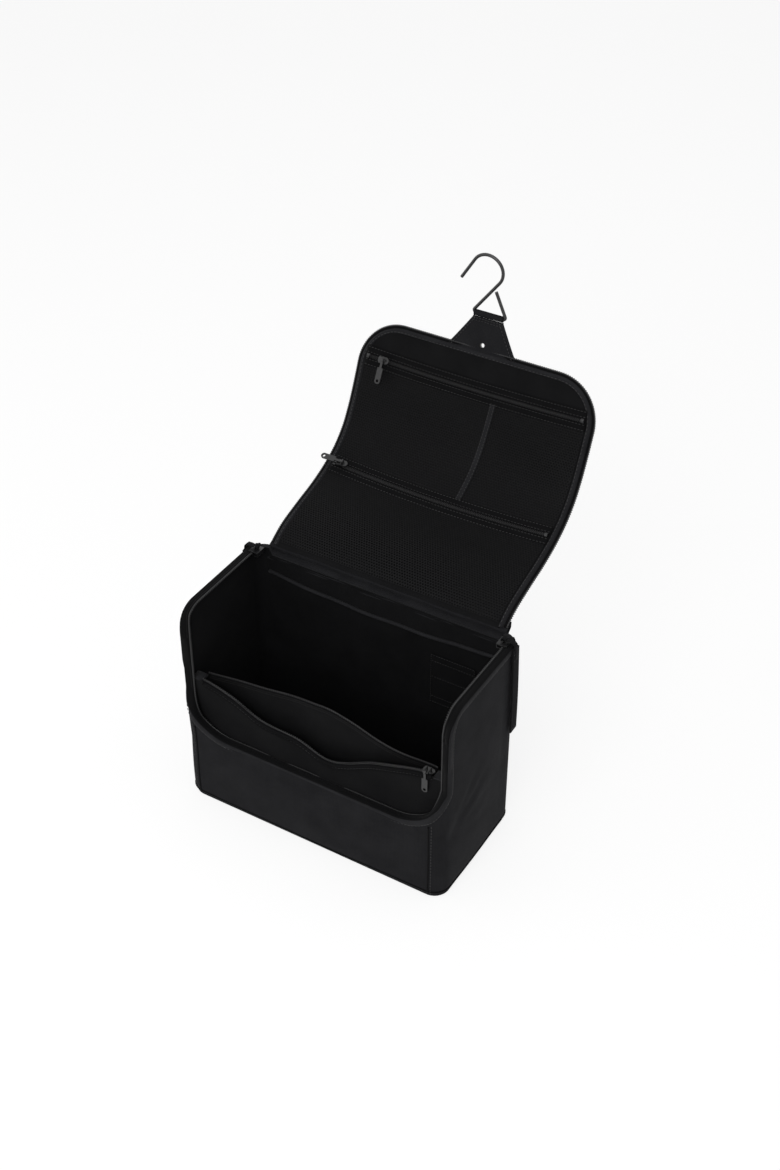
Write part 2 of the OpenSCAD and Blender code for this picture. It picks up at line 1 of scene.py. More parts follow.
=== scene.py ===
# %% [markdown]
# # A hanging toiletry bag, open and empty
#
# The bag is a padded tray of black woven polyester. Its lid swings up on a cloth hinge, carries mesh
# pockets inside, and ends in a tab that holds a wire hook. The moving frame comes from the packed
# CAD model; every piece made here is placed in that frame, in metres, and some ride on its bodies.

# %% Load the frame
import math
import bmesh
import bpy
import numpy as np
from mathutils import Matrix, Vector


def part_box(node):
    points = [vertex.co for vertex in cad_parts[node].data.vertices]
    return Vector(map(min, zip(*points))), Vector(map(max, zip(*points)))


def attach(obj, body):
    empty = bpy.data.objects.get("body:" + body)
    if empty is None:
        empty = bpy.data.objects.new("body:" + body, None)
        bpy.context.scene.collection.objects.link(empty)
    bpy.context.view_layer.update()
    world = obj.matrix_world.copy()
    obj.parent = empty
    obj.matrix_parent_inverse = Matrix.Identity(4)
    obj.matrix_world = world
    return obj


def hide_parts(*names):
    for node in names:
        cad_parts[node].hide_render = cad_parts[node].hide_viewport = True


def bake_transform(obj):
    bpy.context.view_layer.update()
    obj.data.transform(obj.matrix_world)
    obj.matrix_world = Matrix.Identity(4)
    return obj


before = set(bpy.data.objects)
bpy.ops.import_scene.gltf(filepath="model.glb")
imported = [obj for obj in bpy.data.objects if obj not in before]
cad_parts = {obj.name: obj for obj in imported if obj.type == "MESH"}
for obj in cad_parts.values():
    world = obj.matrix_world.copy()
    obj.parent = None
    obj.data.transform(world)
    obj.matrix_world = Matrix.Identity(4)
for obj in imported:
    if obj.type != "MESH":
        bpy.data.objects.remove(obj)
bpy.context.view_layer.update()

# %% [markdown]
# The camera comes first, because everything else is judged through it. It looks down at the bag from
# its front right corner, and is far enough away that the upright edges hardly lean together.

# %% Camera
TARGET = Vector((-0.0674, 0.1858, 0.1))
AZIMUTH, ELEVATION, DISTANCE = math.radians(31), math.radians(38), 1.664
PICTURE_TALL, FOCAL_PIXELS = 1170, 1700

level = math.cos(ELEVATION)
back = Vector((math.sin(AZIMUTH) * level, -math.cos(AZIMUTH) * level, math.sin(ELEVATION)))
camera = bpy.data.objects.new("camera", bpy.data.cameras.new("camera"))
bpy.context.scene.collection.objects.link(camera)
camera.location = TARGET + back * DISTANCE
camera.rotation_euler = (-back).to_track_quat("-Z", "Y").to_euler()
camera.data.sensor_fit, camera.data.sensor_width = "AUTO", 36
camera.data.lens = FOCAL_PIXELS / PICTURE_TALL * camera.data.sensor_width
bpy.context.scene.camera = camera
print("camera at", [round(x, 3) for x in camera.location], "lens", round(camera.data.lens, 1))

# %% [markdown]
# A shader is a chain of nodes. One small function adds a node, sets what is given by name, and links
# its inputs, so that each finish below reads as a short list. Colours are written as they are picked
# on a screen, in sRGB hex, and one function turns them into the linear light that the renderer uses.

# %% Colour and node helpers
def linear(hex_colour):
    channels = [int(hex_colour[i:i + 2], 16) / 255 for i in (1, 3, 5)]
    return [c / 12.92 if c <= 0.04045 else ((c + 0.055) / 1.055) ** 2.4 for c in channels] + [1]


def add_node(tree, kind, settings=(), **sockets):
    made = tree.nodes.new("ShaderNode" + kind)
    for name, value in dict(settings).items():
        setattr(made, name, value)
    for name, value in sockets.items():
        socket = made.inputs[int(name[1:])] if name[1:].isdigit() else made.inputs[name.replace("_", " ")]
        if isinstance(value, (bpy.types.Node, bpy.types.NodeSocket)):
            tree.links.new(value.outputs[0] if isinstance(value, bpy.types.Node) else value, socket)
        else:
            socket.default_value = value
    return made


def new_material(name, **settings):
    """A material, its node tree and its main shader, whose sockets take the plain values given."""
    material = bpy.data.materials.new(name)
    material.use_nodes = True
    tree = material.node_tree
    shader = tree.nodes["Principled BSDF"]
    for socket, value in settings.items():
        shader.inputs[socket.replace("_", " ")].default_value = value
    return material, tree, shader


def two_tones(tree, pattern, dark, pale, dark_at, pale_at):
    """A colour that runs from one tone to the other as a pattern rises between two levels."""
    ramp = add_node(tree, "ValToRGB", _0=pattern)
    for stop, at, tone in zip(ramp.color_ramp.elements, (dark_at, pale_at), (dark, pale)):
        stop.position, stop.color = at, linear(tone)
    return ramp.outputs[0]


def link_shader(tree, shader, **sockets):
    for socket, source in sockets.items():
        tree.links.new(source, shader.inputs[socket.replace("_", " ")])


print("linear of #808080 is", [round(c, 3) for c in linear("#808080")][:3])

# %% [markdown]
# The floor and the backdrop are one pale surface that is seen as white, and it still takes the bag's
# soft shadow. What the camera sees past its edge is the same white, from the world.

# %% Floor, world and light
scene = bpy.context.scene
scene.view_settings.view_transform = "Standard"


def seen_white(tree, lit, seen):
    rays = add_node(tree, "LightPath")
    glossy = add_node(tree, "Math", {"operation": "MAXIMUM"}, _0=rays.outputs["Is Camera Ray"],
                      _1=rays.outputs["Is Glossy Ray"])
    direct = add_node(tree, "Math", {"operation": "MAXIMUM"}, _0=glossy,
                      _1=rays.outputs["Is Transmission Ray"])
    return add_node(tree, "MixShader", _0=direct, _1=lit, _2=seen)


world = bpy.data.worlds.new("studio")
scene.world = world
world.use_nodes = True
sky = world.node_tree
sky.nodes.clear()
fill = add_node(sky, "Background", Color=(1, 1, 1, 1), Strength=0.36)
white = add_node(sky, "Background", Color=(1, 1, 1, 1), Strength=1.0)
add_node(sky, "OutputWorld", Surface=seen_white(sky, fill, white))

floor_mesh = bpy.data.meshes.new("floor")
floor_mesh.from_pydata([(-3, -3, 0), (3, -3, 0), (3, 3, 0), (-3, 3, 0)], [], [(0, 1, 2, 3)])
floor = bpy.data.objects.new("floor", floor_mesh)
scene.collection.objects.link(floor)
paper, paper_tree, paper_shader = new_material("matt white paper", Base_Color=linear("#f7f7f7"), Roughness=0.9)
floor_seen = add_node(paper_tree, "Emission", Color=(1, 1, 1, 1), Strength=1.16)
soft_floor = add_node(paper_tree, "MixShader", _0=0.7, _1=paper_shader, _2=floor_seen)
paper_seen = seen_white(paper_tree, paper_shader, soft_floor)
paper_tree.links.new(paper_seen.outputs[0], paper_tree.nodes["Material Output"].inputs["Surface"])
floor_mesh.materials.append(paper)

for name, place, size, power in (("key", (0.3, -1.5, 1.5), 1.3, 15), ("fill", (-1.5, -0.9, 1.1), 1.5, 4),
                                 ("top", (0.1, 0.5, 1.9), 1.5, 4.5)):
    lamp = bpy.data.lights.new(name, "AREA")
    lamp.size, lamp.energy = size, power
    holder = bpy.data.objects.new(name, lamp)
    scene.collection.objects.link(holder)
    holder.location = place
    holder.rotation_euler = (Vector((0, 0.05, 0.12)) - Vector(place)).to_track_quat("-Z", "Y").to_euler()

# %% [markdown]
# Sewn goods are strips, panels and rows of small things. All of them are kept as parts: points in
# millimetres, faces, and a flat position in millimetres for each point, so that a weave drawn on it
# has its real thread spacing. `piece` turns a part into a Blender object in metres.

# %% Mesh helpers: panels and pieces
MM = 0.001


def panel(points, flat=None, close_u=False):
    """A part from a grid of points in rows; its flat position follows the mean row and column lengths."""
    points = np.asarray(points, float)
    rows, columns = points.shape[:2]
    if flat is None:
        across = np.linalg.norm(np.diff(points, axis=1), axis=2).mean(0)
        along = np.linalg.norm(np.diff(points, axis=0), axis=2).mean(1)
        flat = np.stack(np.meshgrid(np.r_[0, across.cumsum()], np.r_[0, along.cumsum()]), axis=2)
    faces = []
    for v in range(rows - 1):
        for u in range(columns if close_u else columns - 1):
            here, u2 = v * columns, (u + 1) % columns
            faces.append((here + u, here + u2, here + columns + u2, here + columns + u))
    return points.reshape(-1, 3), faces, np.asarray(flat, float).reshape(-1, 2)


def join(*parts):
    points, faces, flats, count = [], [], [], 0
    for p, f, uv in parts:
        points.append(p)
        flats.append(uv)
        faces.extend([tuple(i + count for i in face) for face in f])
        count += len(p)
    return np.concatenate(points), faces, np.concatenate(flats)


def piece(name, part, material, body=None, weld=0.02):
    """A Blender object in metres; points nearer than `weld` millimetres become one."""
    points, faces, flat = part
    mesh = bpy.data.meshes.new(name)
    mesh.from_pydata((points * MM).tolist(), [], faces)
    layer = mesh.uv_layers.new(name="flat_mm")
    order = np.zeros(len(mesh.loops), np.int32)
    mesh.loops.foreach_get("vertex_index", order)
    layer.data.foreach_set("uv", flat[order].astype(np.float32).ravel())
    mesh.materials.append(material)
    mesh.polygons.foreach_set("use_smooth", [True] * len(mesh.polygons))
    if weld:
        work = bmesh.new()
        work.from_mesh(mesh)
        bmesh.ops.remove_doubles(work, verts=work.verts, dist=weld * MM)
        bmesh.ops.recalc_face_normals(work, faces=work.faces)
        work.to_mesh(mesh)
        work.free()
    made = bpy.data.objects.new(name, mesh)
    scene.collection.objects.link(made)
    if body:
        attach(made, body)
    return made


# %% [markdown]
# A strip, a wire, a tape or a piping is one small outline carried along a line. The outline is given
# in two directions, across the strip and up from it. Stitches and zip teeth are one small shape set
# again and again along a line at a fixed pitch.

# %% Mesh helpers: strips and rows
def unit(v):
    return v / np.maximum(np.linalg.norm(v, axis=-1, keepdims=True), 1e-9)


def frames_along(path, up):
    path = np.asarray(path, float)
    tangent = unit(np.gradient(path, axis=0))
    up = np.broadcast_to(np.asarray(up, float), path.shape)
    across = unit(np.cross(tangent, up))
    return path, tangent, across, unit(np.cross(across, tangent))


def run_of(path):
    """The length of a line up to each of its points."""
    return np.r_[0, np.linalg.norm(np.diff(path, axis=0), axis=1).cumsum()]


def evenly(path, pitch):
    """The same line with points at an even pitch."""
    path = np.asarray(path, float)
    run = run_of(path)
    at = np.linspace(0, run[-1], max(2, round(run[-1] / pitch) + 1))
    return np.stack([np.interp(at, run, path[:, i]) for i in range(3)], axis=1)


def sweep(path, up, outline):
    """A closed outline of (across, up) points carried along a path, with an end face at each end."""
    path, _, across, above = frames_along(path, up)
    outline = np.asarray(outline, float)
    rings = path[:, None] + across[:, None] * outline[None, :, :1] + above[:, None] * outline[None, :, 1:]
    points, faces, flat = panel(rings, close_u=True)
    n, last = len(outline), len(points) - len(outline)
    return points, faces + [tuple(range(n))[::-1], tuple(range(last, last + n))], flat[:, ::-1]


def ring(width, height, sides=10):
    turn = np.linspace(0, 2 * math.pi, sides, endpoint=False)
    return np.stack([np.cos(turn) * width / 2, np.sin(turn) * height / 2], axis=1)


def tape_outline(width, thick, shift=0.0):
    """A flat strip's outline with its corners cut, set `shift` to one side of the path."""
    w, t, cut = width / 2, thick / 2, thick * 0.35
    half = [(-w, -t + cut), (-w + cut, -t), (0, -t), (w - cut, -t), (w, -t + cut)]
    return [(a + shift, b) for a, b in half + [(-a, -b) for a, b in half]]


def set_along(path, up, size, lift=0.0, shift=0.0):
    """Rounded grains of size (along, across, up), one at each point of a path."""
    path, tangent, across, above = frames_along(path, up)
    a, b, c = (s / 2 for s in size)
    e = 0.6 * a  # where the grain starts to narrow
    grain = np.array([(-a, 0, 0), (-e, -b, 0), (e, -b, 0), (a, 0, 0), (e, b, 0), (-e, b, 0), (-e, 0, c), (e, 0, c),
                      (-e, 0, -c), (e, 0, -c)])
    tri = [(0, 1, 6), (1, 2, 7, 6), (2, 3, 7), (3, 4, 7), (4, 5, 6, 7), (5, 0, 6),
           (1, 0, 8), (2, 1, 8, 9), (3, 2, 9), (4, 3, 9), (5, 4, 9, 8), (0, 5, 8)]
    centre = path + across * shift + above * lift
    axes = np.stack([tangent, across, above], axis=1)
    points = (centre[:, None] + np.einsum("gi,nij->ngj", grain, axes)).reshape(-1, 3)
    faces = [tuple(i + 10 * n for i in face) for n in range(len(path)) for face in tri]
    return points, faces, points[:, :2].copy()


def curve_through(points, pitch):
    """A smooth line through points, a Catmull-Rom spline, with points at an even pitch."""
    p = np.asarray(points, float)
    p = np.concatenate([[2 * p[0] - p[1]], p, [2 * p[-1] - p[-2]]])
    t = np.linspace(0, 1, 24, endpoint=False)[:, None]
    spans = [0.5 * (2 * b + (c - a) * t + (2 * a - 5 * b + 4 * c - d) * t ** 2 + (3 * b - a - 3 * c + d) * t ** 3)
             for a, b, c, d in zip(p, p[1:], p[2:], p[3:])]
    return evenly(np.concatenate(spans + [p[-2:-1]]), pitch)


print("helpers: panel, join, piece, sweep, set_along, curve_through")

# %% [markdown]
# The shell is woven polyester, dyed black before weaving and backed with a thin coating. Seen close,
# its warp and weft make a fine check, and light grazing it finds a faint sheen. The threads are drawn
# 1.3 mm apart, coarser than on such cloth, so that they show. The lining is a plain, finer weave.

# %% Woven finishes
ONE_MM_BANDS = 0.314  # the wave texture's scale at which its bands are a millimetre apart


def woven(name, colour, worn, thread, rough, sheen, relief=0.25):
    material, tree, shader = new_material(name, Roughness=rough, IOR=1.5, Sheen_Weight=sheen, Sheen_Roughness=0.45,
                                          Specular_IOR_Level=0.06)
    flat = add_node(tree, "UVMap", {"uv_map": "flat_mm"})
    warp, weft = (add_node(tree, "TexWave", {"wave_type": "BANDS", "bands_direction": way}, Vector=flat,
                           Scale=ONE_MM_BANDS / thread, Distortion=0.15) for way in "XY")
    cross = add_node(tree, "Math", {"operation": "MULTIPLY"}, _0=warp.outputs["Fac"], _1=weft.outputs["Fac"])
    cloud = add_node(tree, "TexNoise", Vector=flat, Scale=0.035, Detail=4.0, Roughness=0.6)
    speck = add_node(tree, "TexNoise", Vector=flat, Scale=0.9, Detail=2.0)
    mottle = add_node(tree, "Math", {"operation": "MULTIPLY_ADD"}, _0=speck.outputs["Fac"], _1=0.35,
                      _2=cloud.outputs["Fac"])
    shade = add_node(tree, "Math", {"operation": "MULTIPLY_ADD"}, _0=cross, _1=0.35,
                     _2=mottle)
    bump = add_node(tree, "Bump", Strength=relief, Distance=0.0004, Height=cross)
    dyed = two_tones(tree, shade.outputs[0], colour, worn, 0.4, 1.1)
    link_shader(tree, shader, Base_Color=dyed, Normal=bump.outputs[0])
    return material


shell_cloth = woven("woven polyester shell", "#18181a", "#262628", 1.3, 0.82, 0.01)
lining_cloth = woven("polyester taffeta lining", "#0e0e0f", "#171718", 0.9, 0.78, 0.01, 0.15)
binding_cloth = woven("grosgrain binding", "#1c1c1e", "#2c2c2e", 1.1, 0.78, 0.04, 0.4)
zip_tape = woven("knitted zip tape", "#0a0a0b", "#131314", 0.9, 0.85, 0.03, 0.35)
webbing = woven("ribbed webbing", "#101011", "#202021", 1.6, 0.8, 0.01, 0.6)
print("woven:", [m.name for m in (shell_cloth, lining_cloth, binding_cloth, zip_tape, webbing)])

# %% [markdown]
# The pockets are knitted polyester netting with round holes, 2.6 mm apart. The holes are cut by a
# pattern in the flat cloth: each cell of a staggered grid is clear near its middle. The filament yarn
# is smoother than the shell's, so the netting is less rough than the woven cloths.

# %% Netting
HOLE_PITCH, HOLE_RADIUS = 2.6, 0.34


def netting_material():
    material, tree, shader = new_material("knitted netting", Roughness=0.5, IOR=1.5, Specular_IOR_Level=0.08)
    flat = add_node(tree, "UVMap", {"uv_map": "flat_mm"})
    cells = add_node(tree, "VectorMath", {"operation": "MULTIPLY"}, _0=flat,
                     _1=(1 / HOLE_PITCH, 1.155 / HOLE_PITCH, 0))
    split = add_node(tree, "SeparateXYZ", Vector=cells)
    row = add_node(tree, "Math", {"operation": "FLOOR"}, _0=split.outputs["Y"])
    odd = add_node(tree, "Math", {"operation": "MULTIPLY_ADD"}, _0=row, _1=0.5,
                   _2=split.outputs["X"])
    u = add_node(tree, "Math", {"operation": "FRACT"}, _0=odd)
    v = add_node(tree, "Math", {"operation": "FRACT"}, _0=split.outputs["Y"])
    at = add_node(tree, "CombineXYZ", X=u, Y=v, Z=0.0)
    away = add_node(tree, "VectorMath", {"operation": "DISTANCE"}, _0=at, _1=(0.5, 0.5, 0))
    yarn = add_node(tree, "Math", {"operation": "GREATER_THAN"}, _0=away.outputs["Value"], _1=HOLE_RADIUS)
    tone = add_node(tree, "TexNoise", Vector=flat, Scale=0.5, Detail=3.0)
    bump = add_node(tree, "Bump", Strength=0.5, Distance=0.0004, Height=away.outputs["Value"])
    dyed = two_tones(tree, tone.outputs["Fac"], "#0d0d0e", "#171718", 0.35, 0.75)
    link_shader(tree, shader, Base_Color=dyed, Alpha=yarn.outputs[0], Normal=bump.outputs[0])
    return material


netting = netting_material()
print("netting holes every", HOLE_PITCH, "mm")

# %% [markdown]
# The small parts are hard. The zip coils are nylon monofilament, moulded into loops, and a little
# glossy. The sliders are die-cast zinc with black paint, smooth and satin, worn brighter where they
# rub. The hook is steel wire with the same black enamel, and the thread is bonded polyester.

# %% Hard finishes
def moulded(name, colour, light, rough, grit, relief, metallic=0.0, coat=0.0):
    material, tree, shader = new_material(name, Metallic=metallic, Coat_Weight=coat, Coat_Roughness=0.25)
    place = add_node(tree, "TexCoord")
    grain = add_node(tree, "TexNoise", Vector=place.outputs["Object"], Scale=1000 / grit, Detail=3.0)
    gloss = add_node(tree, "MapRange", Value=grain.outputs["Fac"], To_Min=rough - 0.06, To_Max=rough + 0.06)
    bump = add_node(tree, "Bump", Strength=relief, Distance=0.0002, Height=grain.outputs["Fac"])
    dyed = two_tones(tree, grain.outputs["Fac"], colour, light, 0.35, 0.75)
    link_shader(tree, shader, Base_Color=dyed, Roughness=gloss.outputs["Result"], Normal=bump.outputs[0])
    return material


coil_nylon = moulded("nylon monofilament coil", "#08080a", "#131314", 0.34, 3, 0.1)
painted_zinc = moulded("die-cast zinc, satin black paint", "#0e0e0f", "#19191a", 0.4, 2, 0.12, 0.0, 0.12)
enamelled_steel = moulded("steel wire, black enamel", "#0a0a0b", "#141415", 0.32, 4, 0.06, 0.0, 0.2)
thread = moulded("bonded polyester thread", "#19191a", "#2a2a2b", 0.6, 1, 0.2)
brass_black = moulded("blackened brass eyelet", "#2a2927", "#3d3b38", 0.35, 2, 0.1, 0.8)
print("hard finishes:", [m.name for m in (coil_nylon, painted_zinc, enamelled_steel, thread, brass_black)])

# %% [markdown]
# The body is a tray made from one padded strip that runs round the rounded base, deep at the back and
# sides and cut down at the front in a wide window. On the real bag the foam between shell and lining
# makes the walls crown a little, and the base seam pulls them in. The wall is therefore a lofted grid
# round the plan, moved out where the foam swells and in where seams pull, and not five flat plates.

# %% Sizes of the body, in millimetres, as the frame has them
HALF_W, HALF_D, CORNER_R, WALL = 135.0, 65.0, 16.0, 5.0
RIM_Z, BACK_Z, RIM_Y, SHOULDER = 205.8, 198.8, -56.0, 20.8
WINDOW_HALF, WINDOW_BOTTOM, WINDOW_R = 134.0, 80.0, 50.0
SPLIT_Z, FLOOR_Z, NOTCH_HALF = 122.3, 4.0, 122.5


def plan_point(s, inset=0.0):
    """A point of the rounded plan and its outward normal; s runs all round, right from the front's middle."""
    w, d, r = HALF_W - CORNER_R, HALF_D - CORNER_R, CORNER_R
    arc = math.pi * r / 2
    total = 4 * (w + d) + 4 * arc
    s = s % total
    # Each span: its length, its start or its corner's centre, its way or first angle, and its outward normal.
    spans = [(w, (0, -HALF_D), (1, 0), (0, -1)), (arc, (w, -d), -90, None), (2 * d, (HALF_W, -d), (0, 1), (1, 0)),
             (arc, (w, d), 0, None), (2 * w, (w, HALF_D), (-1, 0), (0, 1)), (arc, (-w, d), 90, None),
             (2 * d, (-HALF_W, d), (0, -1), (-1, 0)), (arc, (-w, -d), 180, None), (w, (-w, -HALF_D), (1, 0), (0, -1))]
    for length, start, way, normal in spans:
        if s <= length + 1e-9:
            if normal is None:
                turn = math.radians(way + 90 * s / length)
                n = (math.cos(turn), math.sin(turn))
                return np.array(start) + np.array(n) * (r - inset), np.array(n)
            return np.array(start) + np.array(way) * s - np.array(normal) * inset, np.array(normal)
        s -= length
    return plan_point(0, inset)


SEAM_PULL = 1.6  # how far the base seam draws the wall in, in millimetres
PLAN_ROUND = 4 * (HALF_W + HALF_D - 2 * CORNER_R) + 2 * math.pi * CORNER_R
# Arc lengths on the right: where the side wall ends at the front corner, and where the rear corner starts.
EDGE_S = HALF_W - CORNER_R + CORNER_R * math.acos((-RIM_Y - (HALF_D - CORNER_R)) / CORNER_R)
REAR_S = HALF_W - CORNER_R + math.pi * CORNER_R / 2 + 2 * (HALF_D - CORNER_R)
HINGE_IN = 14.0  # how far past the rear corner's start the rim gives way to the hinge
print("plan is", round(PLAN_ROUND), "mm round; side edge at", round(EDGE_S, 1))


# %% The rim: how high the wall stands at each place of the plan
def rim_height(s):
    (x, y), _ = plan_point(s)
    if y < RIM_Y - 0.01:
        past = abs(x) - (WINDOW_HALF - WINDOW_R)
        return WINDOW_BOTTOM + (WINDOW_R - math.sqrt(max(0, WINDOW_R ** 2 - past ** 2)) if past > 0 else 0)
    if y < RIM_Y + SHOULDER:
        return RIM_Z - SHOULDER + math.sqrt(max(0, SHOULDER ** 2 - (y - RIM_Y - SHOULDER) ** 2))
    if y > HALF_D - 0.01 and abs(x) < NOTCH_HALF - 3:
        return BACK_Z
    return RIM_Z


def crown(x, y, z, top):
    """How far the foam pushes the wall out, in millimetres, at a place of the wall."""
    rise = math.sin(math.pi * min(1, max(0, z / max(top, 1)))) ** 0.7
    across = max(0, 1 - (x / (HALF_W - CORNER_R)) ** 2)
    front = math.exp(-((y + HALF_D) / 6) ** 2) * across
    behind = math.exp(-((y - HALF_D) / 6) ** 2) * across
    side = max(0, 1 - ((y + 6) / 44) ** 2) * (abs(x) > 125)
    swell = rise * (3.4 * front + 2.2 * behind + 3.0 * side)
    # Soft dents: the cloth puckers from the window's lower corners down and back across the side.
    pucker = 0
    for turn, wide, deep in ((34, 5, 1.5), (52, 6, 1.2), (8, 6, 1.0), (-16, 6, 0.7)):
        a = math.radians(turn)
        along = (y + 52) * math.cos(a) + (z - 66) * math.sin(a)
        off = -(y + 52) * math.sin(a) + (z - 66) * math.cos(a)
        pucker += deep * math.exp(-(off / wide) ** 2) * math.exp(-((along - 34) / 26) ** 2) * (abs(x) > 125)
    wave = 0.5 * math.sin(x / 23 + 0.6) * math.sin(z / 17 + 0.4) + 0.4 * math.sin(y / 15 + x / 40) * math.sin(z / 26)
    calm = 1 if abs(x) < 125 else min(1, max(0, (42 - y) / 10))  # flat where the webbing hangs
    return swell - pucker + wave * rise * calm


def seam_pull(z):
    return SEAM_PULL * math.exp(-(z / 5) ** 2)


def wall_grid(stations, low, heights, rows, inset):
    grid, flat = [], []
    for row in np.linspace(0, 1, rows):
        line, flat_line = [], []
        for s, top in zip(stations, heights):
            z = low + (top - low) * row
            (x, y), n = plan_point(s, inset)
            out = crown(x, y, z, rim_height(s))
            grow = out - seam_pull(z) if inset == 0 else 0.6 * out
            line.append((x + n[0] * grow, y + n[1] * grow, z))
            flat_line.append((s, z))
        grid.append(line)
        flat.append(flat_line)
    return panel(grid, flat=flat)


def wall_skin(inset, low):
    """The wall's skin in two joined grids: all round up to SPLIT_Z, then the sides and back above it."""
    end_s = PLAN_ROUND - EDGE_S
    upper_s = np.unique(np.r_[np.linspace(EDGE_S, EDGE_S + 5, 4), np.linspace(EDGE_S + 5, end_s - 5, 150),
                              np.linspace(end_s - 5, end_s, 4)])
    front_s = np.linspace(end_s, PLAN_ROUND + EDGE_S, 84)
    lower_front = wall_grid(front_s, low, [min(SPLIT_Z, rim_height(s)) for s in front_s], 26, inset)
    lower_back = wall_grid(upper_s, low, [SPLIT_Z] * len(upper_s), 26, inset)
    upper = wall_grid(upper_s, SPLIT_Z, [rim_height(s) for s in upper_s], 20, inset)
    return join(lower_front, lower_back, upper)


shell_skin = wall_skin(0.0, 0.0)
print("outer skin has", len(shell_skin[0]), "points")

# %% [markdown]
# The shell is an outer skin and a base, and a strip of binding cloth covers the top edge from it to the lining.
# The lining is a second skin just inside it, with a floor of its own, laid over the base board.

# %% Shell, lining and base
def rim_line(inset):
    """The rim all the way round, from the hinge's right end over the shoulder and window to its left end."""
    right = []
    for s in np.linspace(REAR_S + HINGE_IN, EDGE_S, 60):
        right.append((s, rim_height(s)))
    for z in np.linspace(RIM_Z - SHOULDER, SPLIT_Z, 14)[1:]:
        right.append((EDGE_S, z))
    for s in np.linspace(EDGE_S, 0, 50)[1:]:
        right.append((s, rim_height(s - 0.01 if s > 1 else s)))
    points = []
    for s, z in right:
        (x, y), n = plan_point(s, inset)
        out = crown(x, y, z, rim_height(s)) * 0.5
        points.append((x + n[0] * out, y + n[1] * out, z))
    left = [(-x, y, z) for x, y, z in points[:-1]][::-1]
    return np.array(points + left), np.array([plan_point(s)[1] for s, _ in right] +
                                             [plan_point(s)[1] * (-1, 1) for s, _ in right[:-1]][::-1])


def plan_disc(inset, z, rings=12, sag=0.0):
    s = np.linspace(0, PLAN_ROUND, 121)[:-1]
    grid, flat = [], []
    for k in np.linspace(1, 0.02, rings):
        line = [plan_point(v, inset)[0] * k for v in s]
        grid.append([(x, y, z - sag * (1 - k ** 2)) for x, y in line])
        flat.append([(x, y) for x, y in line])
    points, faces, flat = panel(grid, flat=flat, close_u=True)
    return points, faces + [tuple(range(len(points) - 120, len(points)))], flat


lining_skin = wall_skin(WALL, FLOOR_Z)
rim_out, _ = rim_line(0.0)
rim_in, _ = rim_line(WALL)
top_edge = panel(np.stack([rim_out, (rim_out + rim_in) / 2 + (0, 0, 0.4), rim_in]))
back_s = np.linspace(REAR_S + HINGE_IN, PLAN_ROUND - (REAR_S + HINGE_IN), 80)
back_edge = panel([[(*plan_point(s, i)[0], rim_height(s)) for s in back_s] for i in (0.0, 2.5, WALL)])
body_shell = piece("body_shell", join(shell_skin, plan_disc(SEAM_PULL, 0.6, sag=-0.2)), shell_cloth)
body_lining = piece("body_lining", join(lining_skin, plan_disc(WALL, FLOOR_Z + 0.4)), lining_cloth)
body_edge = piece("body_edge", join(top_edge, back_edge), binding_cloth)
for soft in (body_shell, body_lining, body_edge):
    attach(soft, "root")
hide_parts("base_panel", "base_board", "front_panel", "back_panel", "left_side_panel",
            "right_side_panel", "front_foam", "back_foam", "left_foam", "right_foam")
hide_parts("base_lining", "front_lining", "back_lining", "left_lining", "right_lining")
print("shell", len(body_shell.data.polygons), "faces; lining", len(body_lining.data.polygons))

# %% [markdown]
# A bound edge and half of the main zip run round the opening. The binding is a strip of cloth folded
# over the wall's raw edge and sewn through; the zip's tape stands just inside it, with its coil along
# the tape's edge. Binding, tape, coil and stitches all follow the one rim line, each a little further in.

# %% Rim binding, zip tape and coil
def rim_strip(inset, lift):
    """A line beside the rim: inset into the opening and lifted off the edge, with its two directions."""
    line, normals = rim_line(2.5)
    normals = np.c_[normals, np.zeros(len(normals))]
    tangent = unit(np.gradient(line, axis=0))
    up = unit(np.cross(tangent, normals))
    up = np.where((up @ np.array([0, -0.4, 1.0]))[:, None] < 0, -up, up)
    return line - normals * (inset - 2.5) + up * lift, up, normals


def rim_row(maker, inset, lift, pitch, detail, outward=False):
    """A strip or a row of grains on such a line; it stands up off the edge, or outward from the wall."""
    line, up, out = rim_strip(inset, lift)
    even = evenly(line, pitch)
    hint = out if outward else up
    share, known = np.linspace(0, 1, len(even)), np.linspace(0, 1, len(hint))
    return maker(even, np.stack([np.interp(share, known, hint[:, i]) for i in range(3)], axis=1), detail)


band = rim_row(sweep, 0.2, -2.4, 3, tape_outline(6.4, 1.3), outward=True)
rim_binding = piece("rim_binding", band, binding_cloth, "root")

top_band = rim_row(sweep, 2.6, 0.9, 3, tape_outline(6.0, 1.1))
cord_edge = rim_row(sweep, 5.6, 0.8, 2.5, ring(2.2, 2.2))
rim_tape_piece = piece("rim_zip_tape", join(top_band, cord_edge), zip_tape, "root")
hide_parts("rim_tape")

teeth = rim_row(set_along, 7.6, 0.9, 2.1, (1.3, 2.6, 1.9))
spine = rim_row(sweep, 7.0, 0.9, 2.5, ring(1.2, 1.5, 8))
rim_coil_piece = piece("rim_zip_coil", join(teeth, spine), coil_nylon, "root", weld=0)
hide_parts("rim_coil")
print("rim coil has", len(teeth[0]) // 10, "teeth on", round(run_of(rim_out)[-1]), "mm of rim")

# %% [markdown]
# The binding is held by lock stitches, and so are the corner and base seams. A stitch is about 3 mm
# long and sinks a little at each end, so each is one rounded grain of thread.

# %% Stitches and seams of the body
STITCH, STITCH_PITCH = (2.7, 0.75, 0.5), 3.6
rim_stitches = rim_row(set_along, -0.42, -4.8, STITCH_PITCH, (2.7, 0.5, 0.75))


